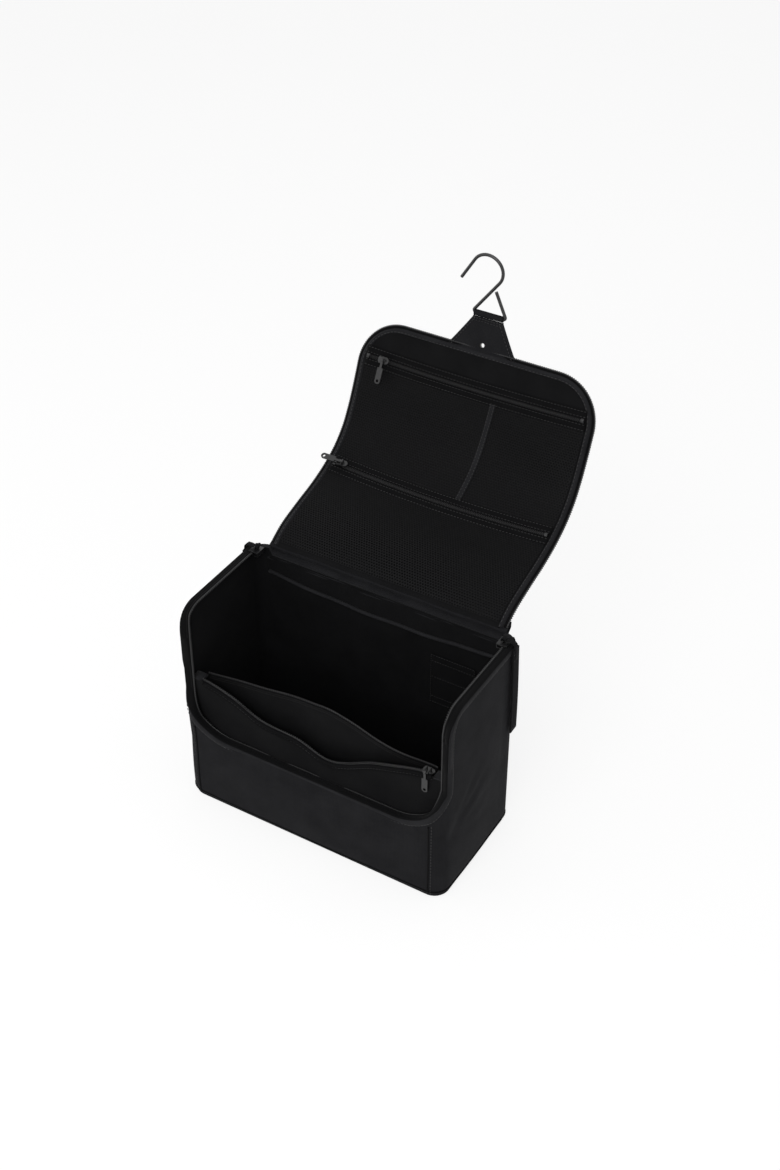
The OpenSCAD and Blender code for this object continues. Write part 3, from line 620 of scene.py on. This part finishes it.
def wall_line(stations, heights, out=0.35):
    points, normals = [], []
    for s, z in zip(stations, heights):
        (x, y), n = plan_point(s)
        grow = crown(x, y, z, rim_height(s)) - seam_pull(z) + out
        points.append((x + n[0] * grow, y + n[1] * grow, z))
        normals.append((n[0], n[1], 0))
    return np.array(points), np.array(normals)


seams, seam_thread = [], []
for side in (1, -1):
    for s, top in ((side * (HALF_W - CORNER_R + CORNER_R * 0.12), 86),
                   (side * (REAR_S + CORNER_R * 0.8), 198)):
        z = np.linspace(3, top, 40)
        line, out = wall_line([s] * len(z), z, 0.1)
        seams.append(sweep(line, out, ring(1.7, 1.3)))
        beside, out = wall_line([s + side * 2.6] * len(z), z, 0.25)
        seam_thread.append(set_along(evenly(beside, STITCH_PITCH), out[0], STITCH))
s_round = np.linspace(0, PLAN_ROUND, 260)
base_line, base_out = wall_line(s_round, [5.5] * len(s_round), 0.2)
seams.append(sweep(base_line, base_out, ring(1.6, 1.4)))
body_seams = piece("body_seams", join(*seams), zip_tape, "root")
body_stitches = piece("body_stitches", join(rim_stitches, *seam_thread), thread, "root", weld=0)
print("seams", len(seams), "stitch rows", len(seam_thread) + 1)

# %% [markdown]
# The lid is one long soft panel with a bend across its middle. Pulled up by its hook it makes a lazy S:
# it rises from the hinge, dips, and turns up again. Everything sewn to the lid is placed by three
# numbers, across, along and off the cloth, and one function bends them all the same way.

# %% The lid's bent surface
LID_LONG, LID_END, LID_HALF, LID_R = 237.5, 240.0, 114.3, 36.0
TAB_ROOT = np.array([0, 229.572, 354.233])
LID_SIDE = [(62, 203), (68.5, 210.5), (84, 219), (109, 226.5), (133, 232.8), (155, 241.2), (173.5, 252),
            (188.5, 265.5), (199.5, 281.5), (208, 298), (215.5, 315.5), (222.5, 334), (229.57, 354.23), (233.2, 365.4)]
side_line = curve_through([(0, y, z) for y, z in LID_SIDE], 1.5)
side_run = run_of(side_line)
tab_root_at = np.argmin(np.linalg.norm(side_line - TAB_ROOT, axis=1))
side_share = side_run * LID_LONG / side_run[tab_root_at]
side_way = unit(np.gradient(side_line, axis=0))


def on_lid(x, along, off):
    """A place on the lid in the frame: off is the height above the middle of the cloth, towards the mesh side."""
    y, z, ty, tz = (np.interp(along, side_share, a) for a in
                    (side_line[:, 1], side_line[:, 2], side_way[:, 1], side_way[:, 2]))
    length = math.hypot(ty, tz)
    edge = min(1, abs(x) / LID_HALF)
    curl = 2.2 * math.sin(math.pi * min(1, max(0, (along - 120) / 117))) * (edge ** 2 - 0.4)
    off = off + curl
    return (x, y - tz / length * off, z + ty / length * off)


def lid_side_at(along):
    ty, tz = (np.interp(along, side_share, a) for a in (side_way[:, 1], side_way[:, 2]))
    length = math.hypot(ty, tz)
    return np.array([0, -tz / length, ty / length])


def lid_half_at(along, half, r, far):
    """Half the lid's width at a place along it: straight, then round at its free corners."""
    if along <= far - r:
        return half
    return half - r + math.sqrt(max(0, r * r - (along - far + r) ** 2))


def bend_with_lid(obj):
    """Bakes a piece's placement into its mesh; the piece rides on no body."""
    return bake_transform(obj)


# %% [markdown]
# The lid's panel is shell cloth, thin foam and lining, closed round its edge, so it is one crowned
# slab: a little thicker in the middle than at the bound edge, with slight waves where the cloth is slack.

# %% Lid panel and lining
def lid_face(half, columns, rows, height):
    """One face of the lid, from the hinge to the round free corners."""
    grid, flat = [], []
    turn = LID_END - LID_R
    for along in np.r_[np.linspace(5, turn, rows), turn + LID_R * np.sin(np.linspace(0, math.pi / 2, 15)[1:])]:
        reach = max(lid_half_at(along, half, LID_R, LID_END), half - LID_R)
        xs = np.linspace(-reach, reach, columns)
        grid.append([on_lid(x, along, height(x, along)) for x in xs])
        flat.append([(x, along) for x in xs])
    return panel(grid, flat=flat)


def slack(x, along):
    return 0.5 * math.sin(x / 31 + 1) * math.sin(along / 23) + 0.35 * math.sin(x / 13 + along / 19)


def crown_lid(x, along):
    rim = min(1, (1 - abs(x) / LID_HALF) * 6, max(0, LID_END - along) / 16, max(0, along - 4) / 8)
    return math.sin(max(0, rim) * math.pi / 2)


outer_face = lid_face(LID_HALF, 46, 60, lambda x, a: -1.0 + (0.7 * slack(x, a) - 1.6) * crown_lid(x, a))
points, faces, flat = lid_face(LID_HALF, 46, 60, lambda x, a: 0.4 + 0.9 * crown_lid(x, a))
lid_panel = piece("lid_panel", join(outer_face, (points, [f[::-1] for f in faces], flat)), shell_cloth)
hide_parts("lid_top_panel", "lid_top_foam", "lid_front_panel", "lid_front_foam", "fold_strip")
bend_with_lid(lid_panel)

lining_face = lid_face(LID_HALF - 0.5, 40, 56, lambda x, a: 1.5 + 0.5 * crown_lid(x, a))
lid_lining = piece("lid_lining", lining_face, lining_cloth)
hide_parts("lid_top_lining", "lid_front_lining")
bend_with_lid(lid_lining)
print("lid panel", len(lid_panel.data.polygons), "faces")

# %% [markdown]
# The other half of the main zip runs round the lid's edge, outside its binding. Along the lid it goes
# like the rim's: binding, tape, then a row of coil loops that would mesh with the rim's.

# %% Lid edge: binding, tape, coil and stitches
def lid_edge(half, near, far, r, off, pitch=3.0):
    """A line round the lid's edge from one hinge corner to the other, with the side that is up."""
    flat = [(half, a) for a in np.linspace(near, far - r, 60)]
    flat += [(half - r + r * math.cos(t), far - r + r * math.sin(t)) for t in np.linspace(0, math.pi / 2, 20)[1:]]
    flat += [(-x, a) for x, a in flat[::-1]]
    flat = evenly([(x, a, 0) for x, a in flat], pitch)
    return np.array([on_lid(x, a, off) for x, a, _ in flat]), np.array([lid_side_at(a) for _, a, _ in flat])


line, up = lid_edge(LID_HALF + 0.4, 6, LID_END + 0.4, LID_R + 1, 0.6)
lid_binding = piece("lid_binding", sweep(line, up, tape_outline(4.6, 4.6)), binding_cloth)
line, up = lid_edge(LID_HALF + 3.6, 7, LID_END + 3.4, LID_R + 4, 0.2)
lid_zip = piece("lid_zip_tape", sweep(line, up, tape_outline(3.6, 0.9)), zip_tape)
line, up = lid_edge(LID_HALF + 5.4, 8, LID_END + 5.2, LID_R + 6, 0.2, 2.1)
lid_teeth = join(set_along(line, up, (1.3, 2.2, 1.9)), sweep(line, up, ring(1.1, 1.4, 8)))
lid_coil = piece("lid_zip_coil", lid_teeth, coil_nylon, weld=0)
line, up = lid_edge(LID_HALF - 0.2, 7, LID_END - 0.4, LID_R, 3.05, STITCH_PITCH)
lid_stitches = piece("lid_edge_stitches", set_along(line, up, STITCH), thread, weld=0)
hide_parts("lid_top_binding", "lid_front_binding")
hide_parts("lid_top_zip", "lid_front_zip")
for obj, slot in ((lid_binding, "shell_cloth"), (lid_zip, "zip_tape"), (lid_coil, "zip_coil"),
                  (lid_stitches, "shell_cloth")):
    bend_with_lid(obj)
print("lid edge is", round(run_of(line)[-1]), "mm long")

# %% [markdown]
# The mesh pockets are flat-cut netting, caught in the edge binding and in the zips' tapes. Empty, they
# lie almost on the lining, with a shallow swell between the seams that hold them.

# %% Mesh pockets
MID_ZIP, UPPER_ZIP, DIVIDER_X, MESH_HALF = 104.0, 211.5, 20.0, 111.6


def pull_of(x, along):
    """How far the slack netting and its zips sag down the lid, between the seams at its sides."""
    at_mid, at_upper = math.exp(-((along - MID_ZIP) / 30) ** 2), math.exp(-((along - UPPER_ZIP) / 26) ** 2)
    return (1 - (x / MESH_HALF) ** 2) * (4.2 * at_mid + 2.6 * at_upper)


def on_mesh(x, along, off):
    return on_lid(x, along - pull_of(x, along), off)


def mesh_sheet(x0, x1, a0, a1, swell, columns=30, rows=26, half=None):
    grid, flat = [], []
    for a in np.linspace(a0, a1, rows):
        reach = MESH_HALF if half is None else half(a)
        line, flat_line = [], []
        for k in np.linspace(0, 1, columns):
            x = max(-reach, x0) + (min(reach, x1) - max(-reach, x0)) * k
            lift = math.sin(math.pi * k) * math.sin(math.pi * (a - a0) / (a1 - a0))
            line.append(on_mesh(x, a, 2.7 + swell * max(0, lift) ** 0.8 + 0.35 * math.sin(x / 17 + a / 11) * lift))
            flat_line.append((x, a))
        grid.append(line)
        flat.append(flat_line)
    return panel(grid, flat=flat)


lower_mesh = piece("lower_mesh_pocket", mesh_sheet(-MESH_HALF, MESH_HALF, 9, MID_ZIP - 6, 2.6, 48), netting, "lid_top")
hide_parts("lower_mesh")


def round_half(a):
    return lid_half_at(a, MESH_HALF, LID_R - 3, LID_END - 2)


left_net = mesh_sheet(-MESH_HALF, DIVIDER_X, MID_ZIP + 8, UPPER_ZIP - 6, 2.2, 32, 34, round_half)
right_net = mesh_sheet(DIVIDER_X, MESH_HALF, MID_ZIP + 8, UPPER_ZIP - 6, 2.2, 24, 34, round_half)
left_mesh = piece("upper_mesh_pocket_left", left_net, netting)
right_mesh = piece("upper_mesh_pocket_right", right_net, netting)
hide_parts("upper_mesh_left")
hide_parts("upper_mesh_right")
for obj in (left_mesh, right_mesh):
    bend_with_lid(obj)
print("mesh pockets:", lower_mesh.name, left_mesh.name, right_mesh.name)

# %% [markdown]
# Each mesh pocket opens with a small coil zip. Two tapes are sewn to the netting, and the coils mesh
# in a raised line between them. The divider is a narrow tape sewn through netting and lining.

# %% Lid pocket zips and divider
def lid_line(x0, x1, a0, a1, off, pitch):
    flat = evenly([(x0, a0, 0), (x1, a1, 0)], pitch)
    return np.array([on_mesh(x, a, off) for x, a, _ in flat]), np.array([lid_side_at(a) for _, a, _ in flat])


def small_zip(name, at, half, body):
    line, up = lid_line(-half, half, at, at, 3.3, 4)
    tape_part = join(*[sweep(line, up, tape_outline(7.6, 0.7, shift)) for shift in (5.2, -5.2)])
    line, up = lid_line(-half + 4, half - 4, at, at, 3.9, 1.7)
    loops = join(*[set_along(line + (start, 0, 0), up, (1.15, 2.3, 1.5), shift=shift)
                   for start, shift in ((0, 0.75), (0.85, -0.75))])
    rows = []
    for side in (-1, 1):
        for shift in (8.2, 3.4):
            line, up = lid_line(-half + 2, half - 2, at, at, 3.85, 3.2)
            rows.append(set_along(line, up, (2.2, 0.6, 0.45), shift=side * shift))
    stops = []
    for x in (-half + 3, half - 3):
        line, up = lid_line(x - 1.4, x + 1.4, at, at, 4.2, 0.7)
        stops.append(sweep(line, up, ring(4.6, 2.4, 12)))
    made = [piece(name + "_zip_tape_sewn", tape_part, zip_tape),
            piece(name + "_zip_loops", join(loops, *stops), coil_nylon, weld=0),
            piece(name + "_zip_stitches", join(*rows), thread, weld=0)]
    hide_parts(name + "_zip_tape")
    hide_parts(name + "_zip_coil")
    for obj, slot in zip(made, ("zip_tape", "zip_coil", "zip_tape")):
        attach(obj, body)


small_zip("mid", MID_ZIP, 112.0, "lid_top")
small_zip("upper", UPPER_ZIP, round_half(UPPER_ZIP) + 0.6, "lid_front")

line, up = lid_line(DIVIDER_X - 2, DIVIDER_X + 2, MID_ZIP + 9, UPPER_ZIP - 8, 3.3, 3)
divider = piece("mesh_divider_tape", sweep(line, up, tape_outline(5.4, 0.8)), binding_cloth)
rows = [set_along(line, up, (2.2, 0.6, 0.5), lift=0.5, shift=s) for s in (-1.7, 1.7)]
divider_rows = piece("mesh_divider_stitches", join(*rows), thread, weld=0)
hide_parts("mesh_divider")
for obj in (divider, divider_rows):
    bend_with_lid(obj)
print("small zips at", MID_ZIP, "and", UPPER_ZIP, "mm along the lid")

# %% [markdown]
# The lid hangs on a strip of shell cloth, sewn to the back wall's top and to the lid, with no wire or
# pin in it. Under it, inside, the lining's top edge is finished with a soft piping that sags a little.

# %% Cloth hinge and its piping
def hinge_rows(x0, x1, columns):
    profile = [(64.6, 193.5), (65.2, 197), (65.3, 200.2), (64.6, 203.4), (63.4, 205.8), (64.4, 207.4), (67.6, 209.2),
               (72.5, 212.0)]
    under = [(71.8, 206.6), (67.5, 202.6), (63.2, 200.3), (60.4, 198.2), (59.6, 194.5)]
    xs = np.linspace(x0, x1, columns)
    return panel([[(x, y + 0.35 * math.sin(x / 9 + z), z + 0.3 * math.sin(x / 14)) for x in xs]
                  for y, z in profile + under])


hinge_cloth = piece("hinge_cloth", hinge_rows(-121.2, 121.2, 96), shell_cloth)
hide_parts("hinge_strip")
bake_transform(hinge_cloth)

xs = np.linspace(-119, 119, 70)
sagging = np.array([(x, 58.2, 181 - 6.5 * (1 - (x / 119) ** 2) + 0.5 * math.sin(x / 10)) for x in xs])
flap = panel([[(x, 59.6 - 0.6 * k, (1 - k) * 196.5 + k * z) for x, _, z in sagging] for k in np.linspace(0, 1, 9)])
facing = piece("back_facing", flap, lining_cloth, "root")
piping = piece("hinge_piping_cord", sweep(sagging, (0, -1, 0), ring(3.1, 3.1, 12)), binding_cloth, "root")
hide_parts("hinge_piping")
print("hinge cloth and sagging piping")

# %% [markdown]
# A plain fabric patch is sewn inside, on the back wall. It is left bare: only its sewn rules show.

# %% Patch
patch_xs, patch_zs = np.linspace(50.3, 95.7, 24), np.linspace(100.4, 156.6, 28)
patch_face = [[(x, 59.0 + 0.25 * math.sin(x / 7) * math.sin(z / 9), z) for x in patch_xs] for z in patch_zs]
patch = piece("plain_patch", panel(patch_face), lining_cloth, "root")
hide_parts("label_patch")
border = [(51.3, 101.4), (94.7, 101.4), (94.7, 155.6), (51.3, 155.6), (51.3, 101.4)]
rules = [[(53, z), (93, z)] for z in (149, 131, 108)]
rows = [set_along(evenly([(x, 58.6, z) for x, z in sewn], 2.6), (0, -1, 0), (1.9, 0.55, 0.45))
        for sewn in [border] + rules]
patch_rows = piece("plain_patch_stitches", join(*rows), thread, "root", weld=0)
print("patch with", len(rows), "rows of stitches")

# %% [markdown]
# The pocket behind the window is two sheets of lining cloth. The front one dips and the back one
# rises, so that the zipped mouth gapes like a lens. Slack folds run from its ends to the low middle.

# %% Inner pocket
DIPPED = [(-129, 133), (-108, 132), (-85, 125.5), (-57, 114.5), (-21, 109), (10, 100), (32, 104), (61, 118), (90, 129),
          (110, 133), (129, 133)]
RAISED = [(-129, 133), (-105, 134), (-75, 138), (-43, 141.5), (-7, 147), (9, 147.5), (29, 142), (53, 135.5), (83, 131),
          (110, 132), (129, 133)]
POCKET_HALF, POCKET_FLOOR = 128.6, 4.6


def pocket_sheet(mouth_line, y_ends, y_middle, phase, fills_out):
    """A sheet from the floor to its mouth; one that fills out reaches the front wall low down."""
    grid, flat = [], []
    mouth_line = curve_through([(x, 0, z) for x, z in mouth_line], 2)
    for k in np.linspace(0, 1, 40):
        line = []
        for x in np.linspace(-POCKET_HALF, POCKET_HALF, 84):
            top = np.interp(x, mouth_line[:, 0], mouth_line[:, 2])
            z = POCKET_FLOOR + (top - POCKET_FLOOR) * k
            belly = (1 - (x / POCKET_HALF) ** 2) * k ** 1.6
            fold = 1.1 * k * math.sin(x / 11 + 2.4 * k + phase) * (1 - abs(x) / 150)
            fold += 0.8 * k * math.sin(x / 29 + z / 17 + phase)
            low = min(1, max(0, (100 - z) / 32)) if fills_out else 0
            y = y_ends - 7.0 * low * low * (3 - 2 * low) + (y_middle - y_ends) * belly
            line.append((x, y + fold * min(1, (POCKET_HALF - abs(x)) / 14), z))
        grid.append(line)
        flat.append([(p[0], p[2]) for p in line])
    return grid, panel(grid, flat=flat)


front_grid, front_sheet = pocket_sheet(DIPPED, -52.3, -54.2, 0.4, True)
back_grid, back_sheet = pocket_sheet(RAISED, -43.3, -40.6, 2.2, False)
for name, part, tall in (("pocket_front", front_sheet, 118), ("pocket_back", back_sheet, 145)):
    obj = piece(name + "_cloth", part, lining_cloth, "root")
    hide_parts(name + "_sheet")
mouth, tapes, rows = [], [], []
for grid, side in ((front_grid, 1), (back_grid, -1)):
    top = np.array(grid[-1])
    top = top[(abs(top[:, 0]) < 119)]
    tapes.append(sweep(evenly(top + (0, 0, -1.2), 3), (0, side * 0.25, 1), tape_outline(1.5, 6.2)))
    mouth.append(set_along(evenly(top + (0, side * 0.9, 2.2), 2.0), (0, side * 0.3, 1), (1.25, 2.0, 2.3)))
    mouth.append(sweep(evenly(top + (0, side * 0.3, 1.7), 2.5), (0, 0, 1), ring(1.2, 1.4, 8)))
    rows.append(set_along(evenly(top + (0, -side * 0.95, -3.4), 3.2), (0, -side, 0), (2.3, 0.6, 0.45)))
pocket_tape = piece("pocket_zip_tape", join(*tapes), zip_tape, "root")
pocket_loops = piece("pocket_zip_loops", join(*mouth), coil_nylon, "root", weld=0)
pocket_rows = piece("pocket_zip_stitches", join(*rows), thread, "root", weld=0)
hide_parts("pocket_coils")
ends = [sweep([(s * 118, -48, 131.5), (s * 123, -48, 132), (s * 128.4, -48, 131.6)], (0, 0, 1), tape_outline(10, 3))
        for s in (-1, 1)]
pocket_ends = piece("pocket_zip_ends", join(*ends), binding_cloth, "root")
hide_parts("pocket_end_tabs")
print("inner pocket mouth", round(118 * 2), "mm long")

# %% [markdown]
# The tab is a tapering strap of shell cloth on both faces, sewn to the lid's end. Its top is folded
# round the hook's bar as a sleeve, which is what the hook turns in. An eyelet pierces its middle.

# %% Tab, sleeve and eyelet
TAB_LONG, TAB_BASE, TAB_TOP = 38.0, 74.0, 28.6
EYELET_AT, EYELET_HOLE = 11.0, 2.0
tab_turn = math.radians(24 + 38 + 7)  # the rises of the lid's upper panel, its front panel and the tab, added up
tab_way = np.array([0, math.cos(tab_turn), math.sin(tab_turn)])
tab_off = np.array([0, -math.sin(tab_turn), math.cos(tab_turn)])


def tab_half(along):
    k = min(1, max(0, along / (TAB_LONG - 4)))
    return TAB_BASE / 2 + (TAB_TOP / 2 - TAB_BASE / 2) * k ** 0.92


def on_tab(x, along, off):
    return TAB_ROOT + np.array([x, 0, 0]) + tab_way * along + tab_off * off


def tab_face(off, puff):
    grid, flat = [], []
    for a in np.linspace(-1.5, TAB_LONG - 3.2, 46):
        xs = np.linspace(-tab_half(a), tab_half(a), 67)
        waves = 0.25 * np.sin(xs / 8 + a / 6)
        heights = off + puff * (1 - (xs / tab_half(a)) ** 2) + waves
        grid.append([on_tab(x, a, height) for x, height in zip(xs, heights)])
        flat.append([(x, a) for x in xs])
    points, faces, flat = panel(grid, flat=flat)
    away = np.hypot(flat[:, 0], flat[:, 1] - EYELET_AT)
    faces = [f for f in faces if min(away[i] for i in f) > EYELET_HOLE]
    return points, faces, flat


def tab_piece(name, material, part, node=None, turns=True):
    """A piece of the tab. With `turns` it is baked where it stands and rides on no body; without it, it rides on the
    tab.
    """
    made = piece(name, part, material, None if turns else "tab", weld=0 if "stitches" in name else 0.02)
    if turns:
        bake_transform(made)
    if node:
        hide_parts(node)


front_face, rear_face = tab_face(0.9, 0.5), tab_face(-0.9, -0.5)
tab_piece("tab_front_cloth", shell_cloth, front_face, "tab_inner_layer")
tab_piece("tab_rear_cloth", shell_cloth, rear_face, "tab_outer_layer")
edge_alongs = np.linspace(-1.5, TAB_LONG - 3, 30)
edges = [sweep([on_tab(s * tab_half(a), a, 0) for a in edge_alongs], tab_off, tape_outline(1.6, 2.3)) for s in (-1, 1)]
tab_piece("tab_bound_edges", binding_cloth, join(*edges))
roll = [on_tab(x, TAB_LONG, 0) for x in np.linspace(-TAB_TOP / 2, TAB_TOP / 2, 30)]
sleeve_ring = ring(5.5, 5.5, 24)
sleeve_ring[:, 0] *= 1 + 0.05 * np.sin(3 * np.linspace(0, 2 * math.pi, 24, endpoint=False))
tab_piece("tab_sleeve_roll", shell_cloth, sweep(roll, tab_off, sleeve_ring), "tab_sleeve", turns=False)
rows = []
for s in (-1, 1):
    line = evenly([on_tab(s * (tab_half(a) - 2.4), a, 1.55) for a in np.linspace(1, TAB_LONG - 5, 24)], 3.2)
    rows += [set_along(line, tab_off, (2.3, 0.65, 0.5)), set_along(line - tab_off * 3.1, -tab_off, (2.3, 0.65, 0.5))]
for a, half in ((TAB_LONG - 4.6, TAB_TOP / 2 - 1.5), (TAB_LONG - 6.6, TAB_TOP / 2 - 1), (2.6, TAB_BASE / 2 - 4)):
    line = evenly([on_tab(x, a, 1.85 - 0.3 * abs(x / half)) for x in np.linspace(-half, half, 24)], 3.0)
    rows += [set_along(line, tab_off, (2.2, 0.65, 0.5)), set_along(line - tab_off * 3.5, -tab_off, (2.2, 0.65, 0.5))]
tab_piece("tab_stitches", thread, join(*rows))
print("tab", TAB_LONG, "mm long with", len(rows), "rows of stitches")

# %% [markdown]
# Each main slider is pulled by a length of ribbed webbing. A narrow neck is folded round the slider's
# bar and sewn; from there it turns over the rim and hangs free outside the side, a little off the cloth.

# %% Webbing pulls
def webbing_pull(side):
    name = "left" if side < 0 else "right"
    low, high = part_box(name + "_pull")
    bar_x, bar_z, y, bottom = 126.0, 211.2, (low.y + high.y) / 2 / MM, low.z / MM
    turn = np.linspace(math.radians(-60), math.radians(-360), 16)
    neck = [(bar_x + 2.0 * math.cos(t), bar_z + 2.0 * math.sin(t)) for t in turn]
    neck += [(131, 211.8), (135, 211.6), (137.1, 209.6), (137.8, 205.5), (138.1, 200), (138.2, 194)]
    neck = np.array([(side * x, y, z) for x, z in neck])
    outward = np.array([(side * math.cos(t), 0, math.sin(t)) for t in turn] +
                       [(0, 0, 1), (side * 0.2, 0, 1), (side * 0.8, 0, 0.6)] + [(side, 0, 0)] * 3)
    neck_band = sweep(neck, outward, tape_outline(5.2, 1.1))
    drop = np.linspace(0, 1, 50)
    hang = np.array([(side * (137.2 + 1.1 * math.sin(2.6 * k)), y + 2.2 * k * k, 206 - (206 - bottom) * k)
                     for k in drop])
    rib_at = np.linspace(-5, 5, 13)
    ribs = [(a, 0.62 + 0.13 * (-1) ** i) for i, a in enumerate(rib_at)]
    band = sweep(hang, (side, 0, 0), ribs + [(a, -b) for a, b in ribs[::-1]])
    rows = []
    for k in (0.05, 0.12, 0.96, 0.985):
        at = np.array([np.interp(k, drop, hang[:, i]) for i in range(3)]) + (side * 0.75, 0, 0)
        rows.append(set_along(evenly([at + (0, -4, 0), at + (0, 4, 0)], 1.5), (side, 0, 0), (1.2, 0.7, 0.5)))
    for suffix, part, material in (("_webbing_pull", join(neck_band, band), webbing),
                                   ("_webbing_stitches", join(*rows), thread)):
        made = piece(name + suffix, part, material, name + "_webbing", weld=0)
        if material is webbing:
            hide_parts(name + "_pull")
    return run_of(hang)[-1]


print("webbing pulls hang", [round(webbing_pull(side)) for side in (-1, 1)], "mm")

# %% [markdown]
# The hook, sliders, pullers and eyelet are rigid and keep the frame's own shapes. All but the hook,
# whose wire is round already, get the small rounded edges that casting and tumbling leave.

# %% Metal parts
metal = {"wire_hook": enamelled_steel, "eyelet": brass_black}
for name in ("mid_slider", "upper_slider", "pocket_slider", "left_slider", "right_slider", "mid_puller", "upper_puller",
             "pocket_puller"):
    metal[name] = painted_zinc
for name, material in metal.items():
    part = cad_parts[name]
    part.data.materials.clear()
    part.data.materials.append(material)
    part.data.polygons.foreach_set("use_smooth", [True] * len(part.data.polygons))
    if name != "wire_hook":
        soften = part.modifiers.new("tumbled edges", "BEVEL")
        soften.width, soften.segments, soften.limit_method = 0.00025, 2, "ANGLE"
        soften.angle_limit, soften.harden_normals = math.radians(40), True
print("metal parts:", len(metal))

# %% [markdown]
# Last, the frame's nodes that still show as they are, other than the metal parts, are listed. They
# should agree, apart from the little that cloth stands proud.

# %% Frame nodes still shown
left = [name for name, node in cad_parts.items() if not node.hide_render and name not in metal]
print("frame nodes that still show as they are:", left)
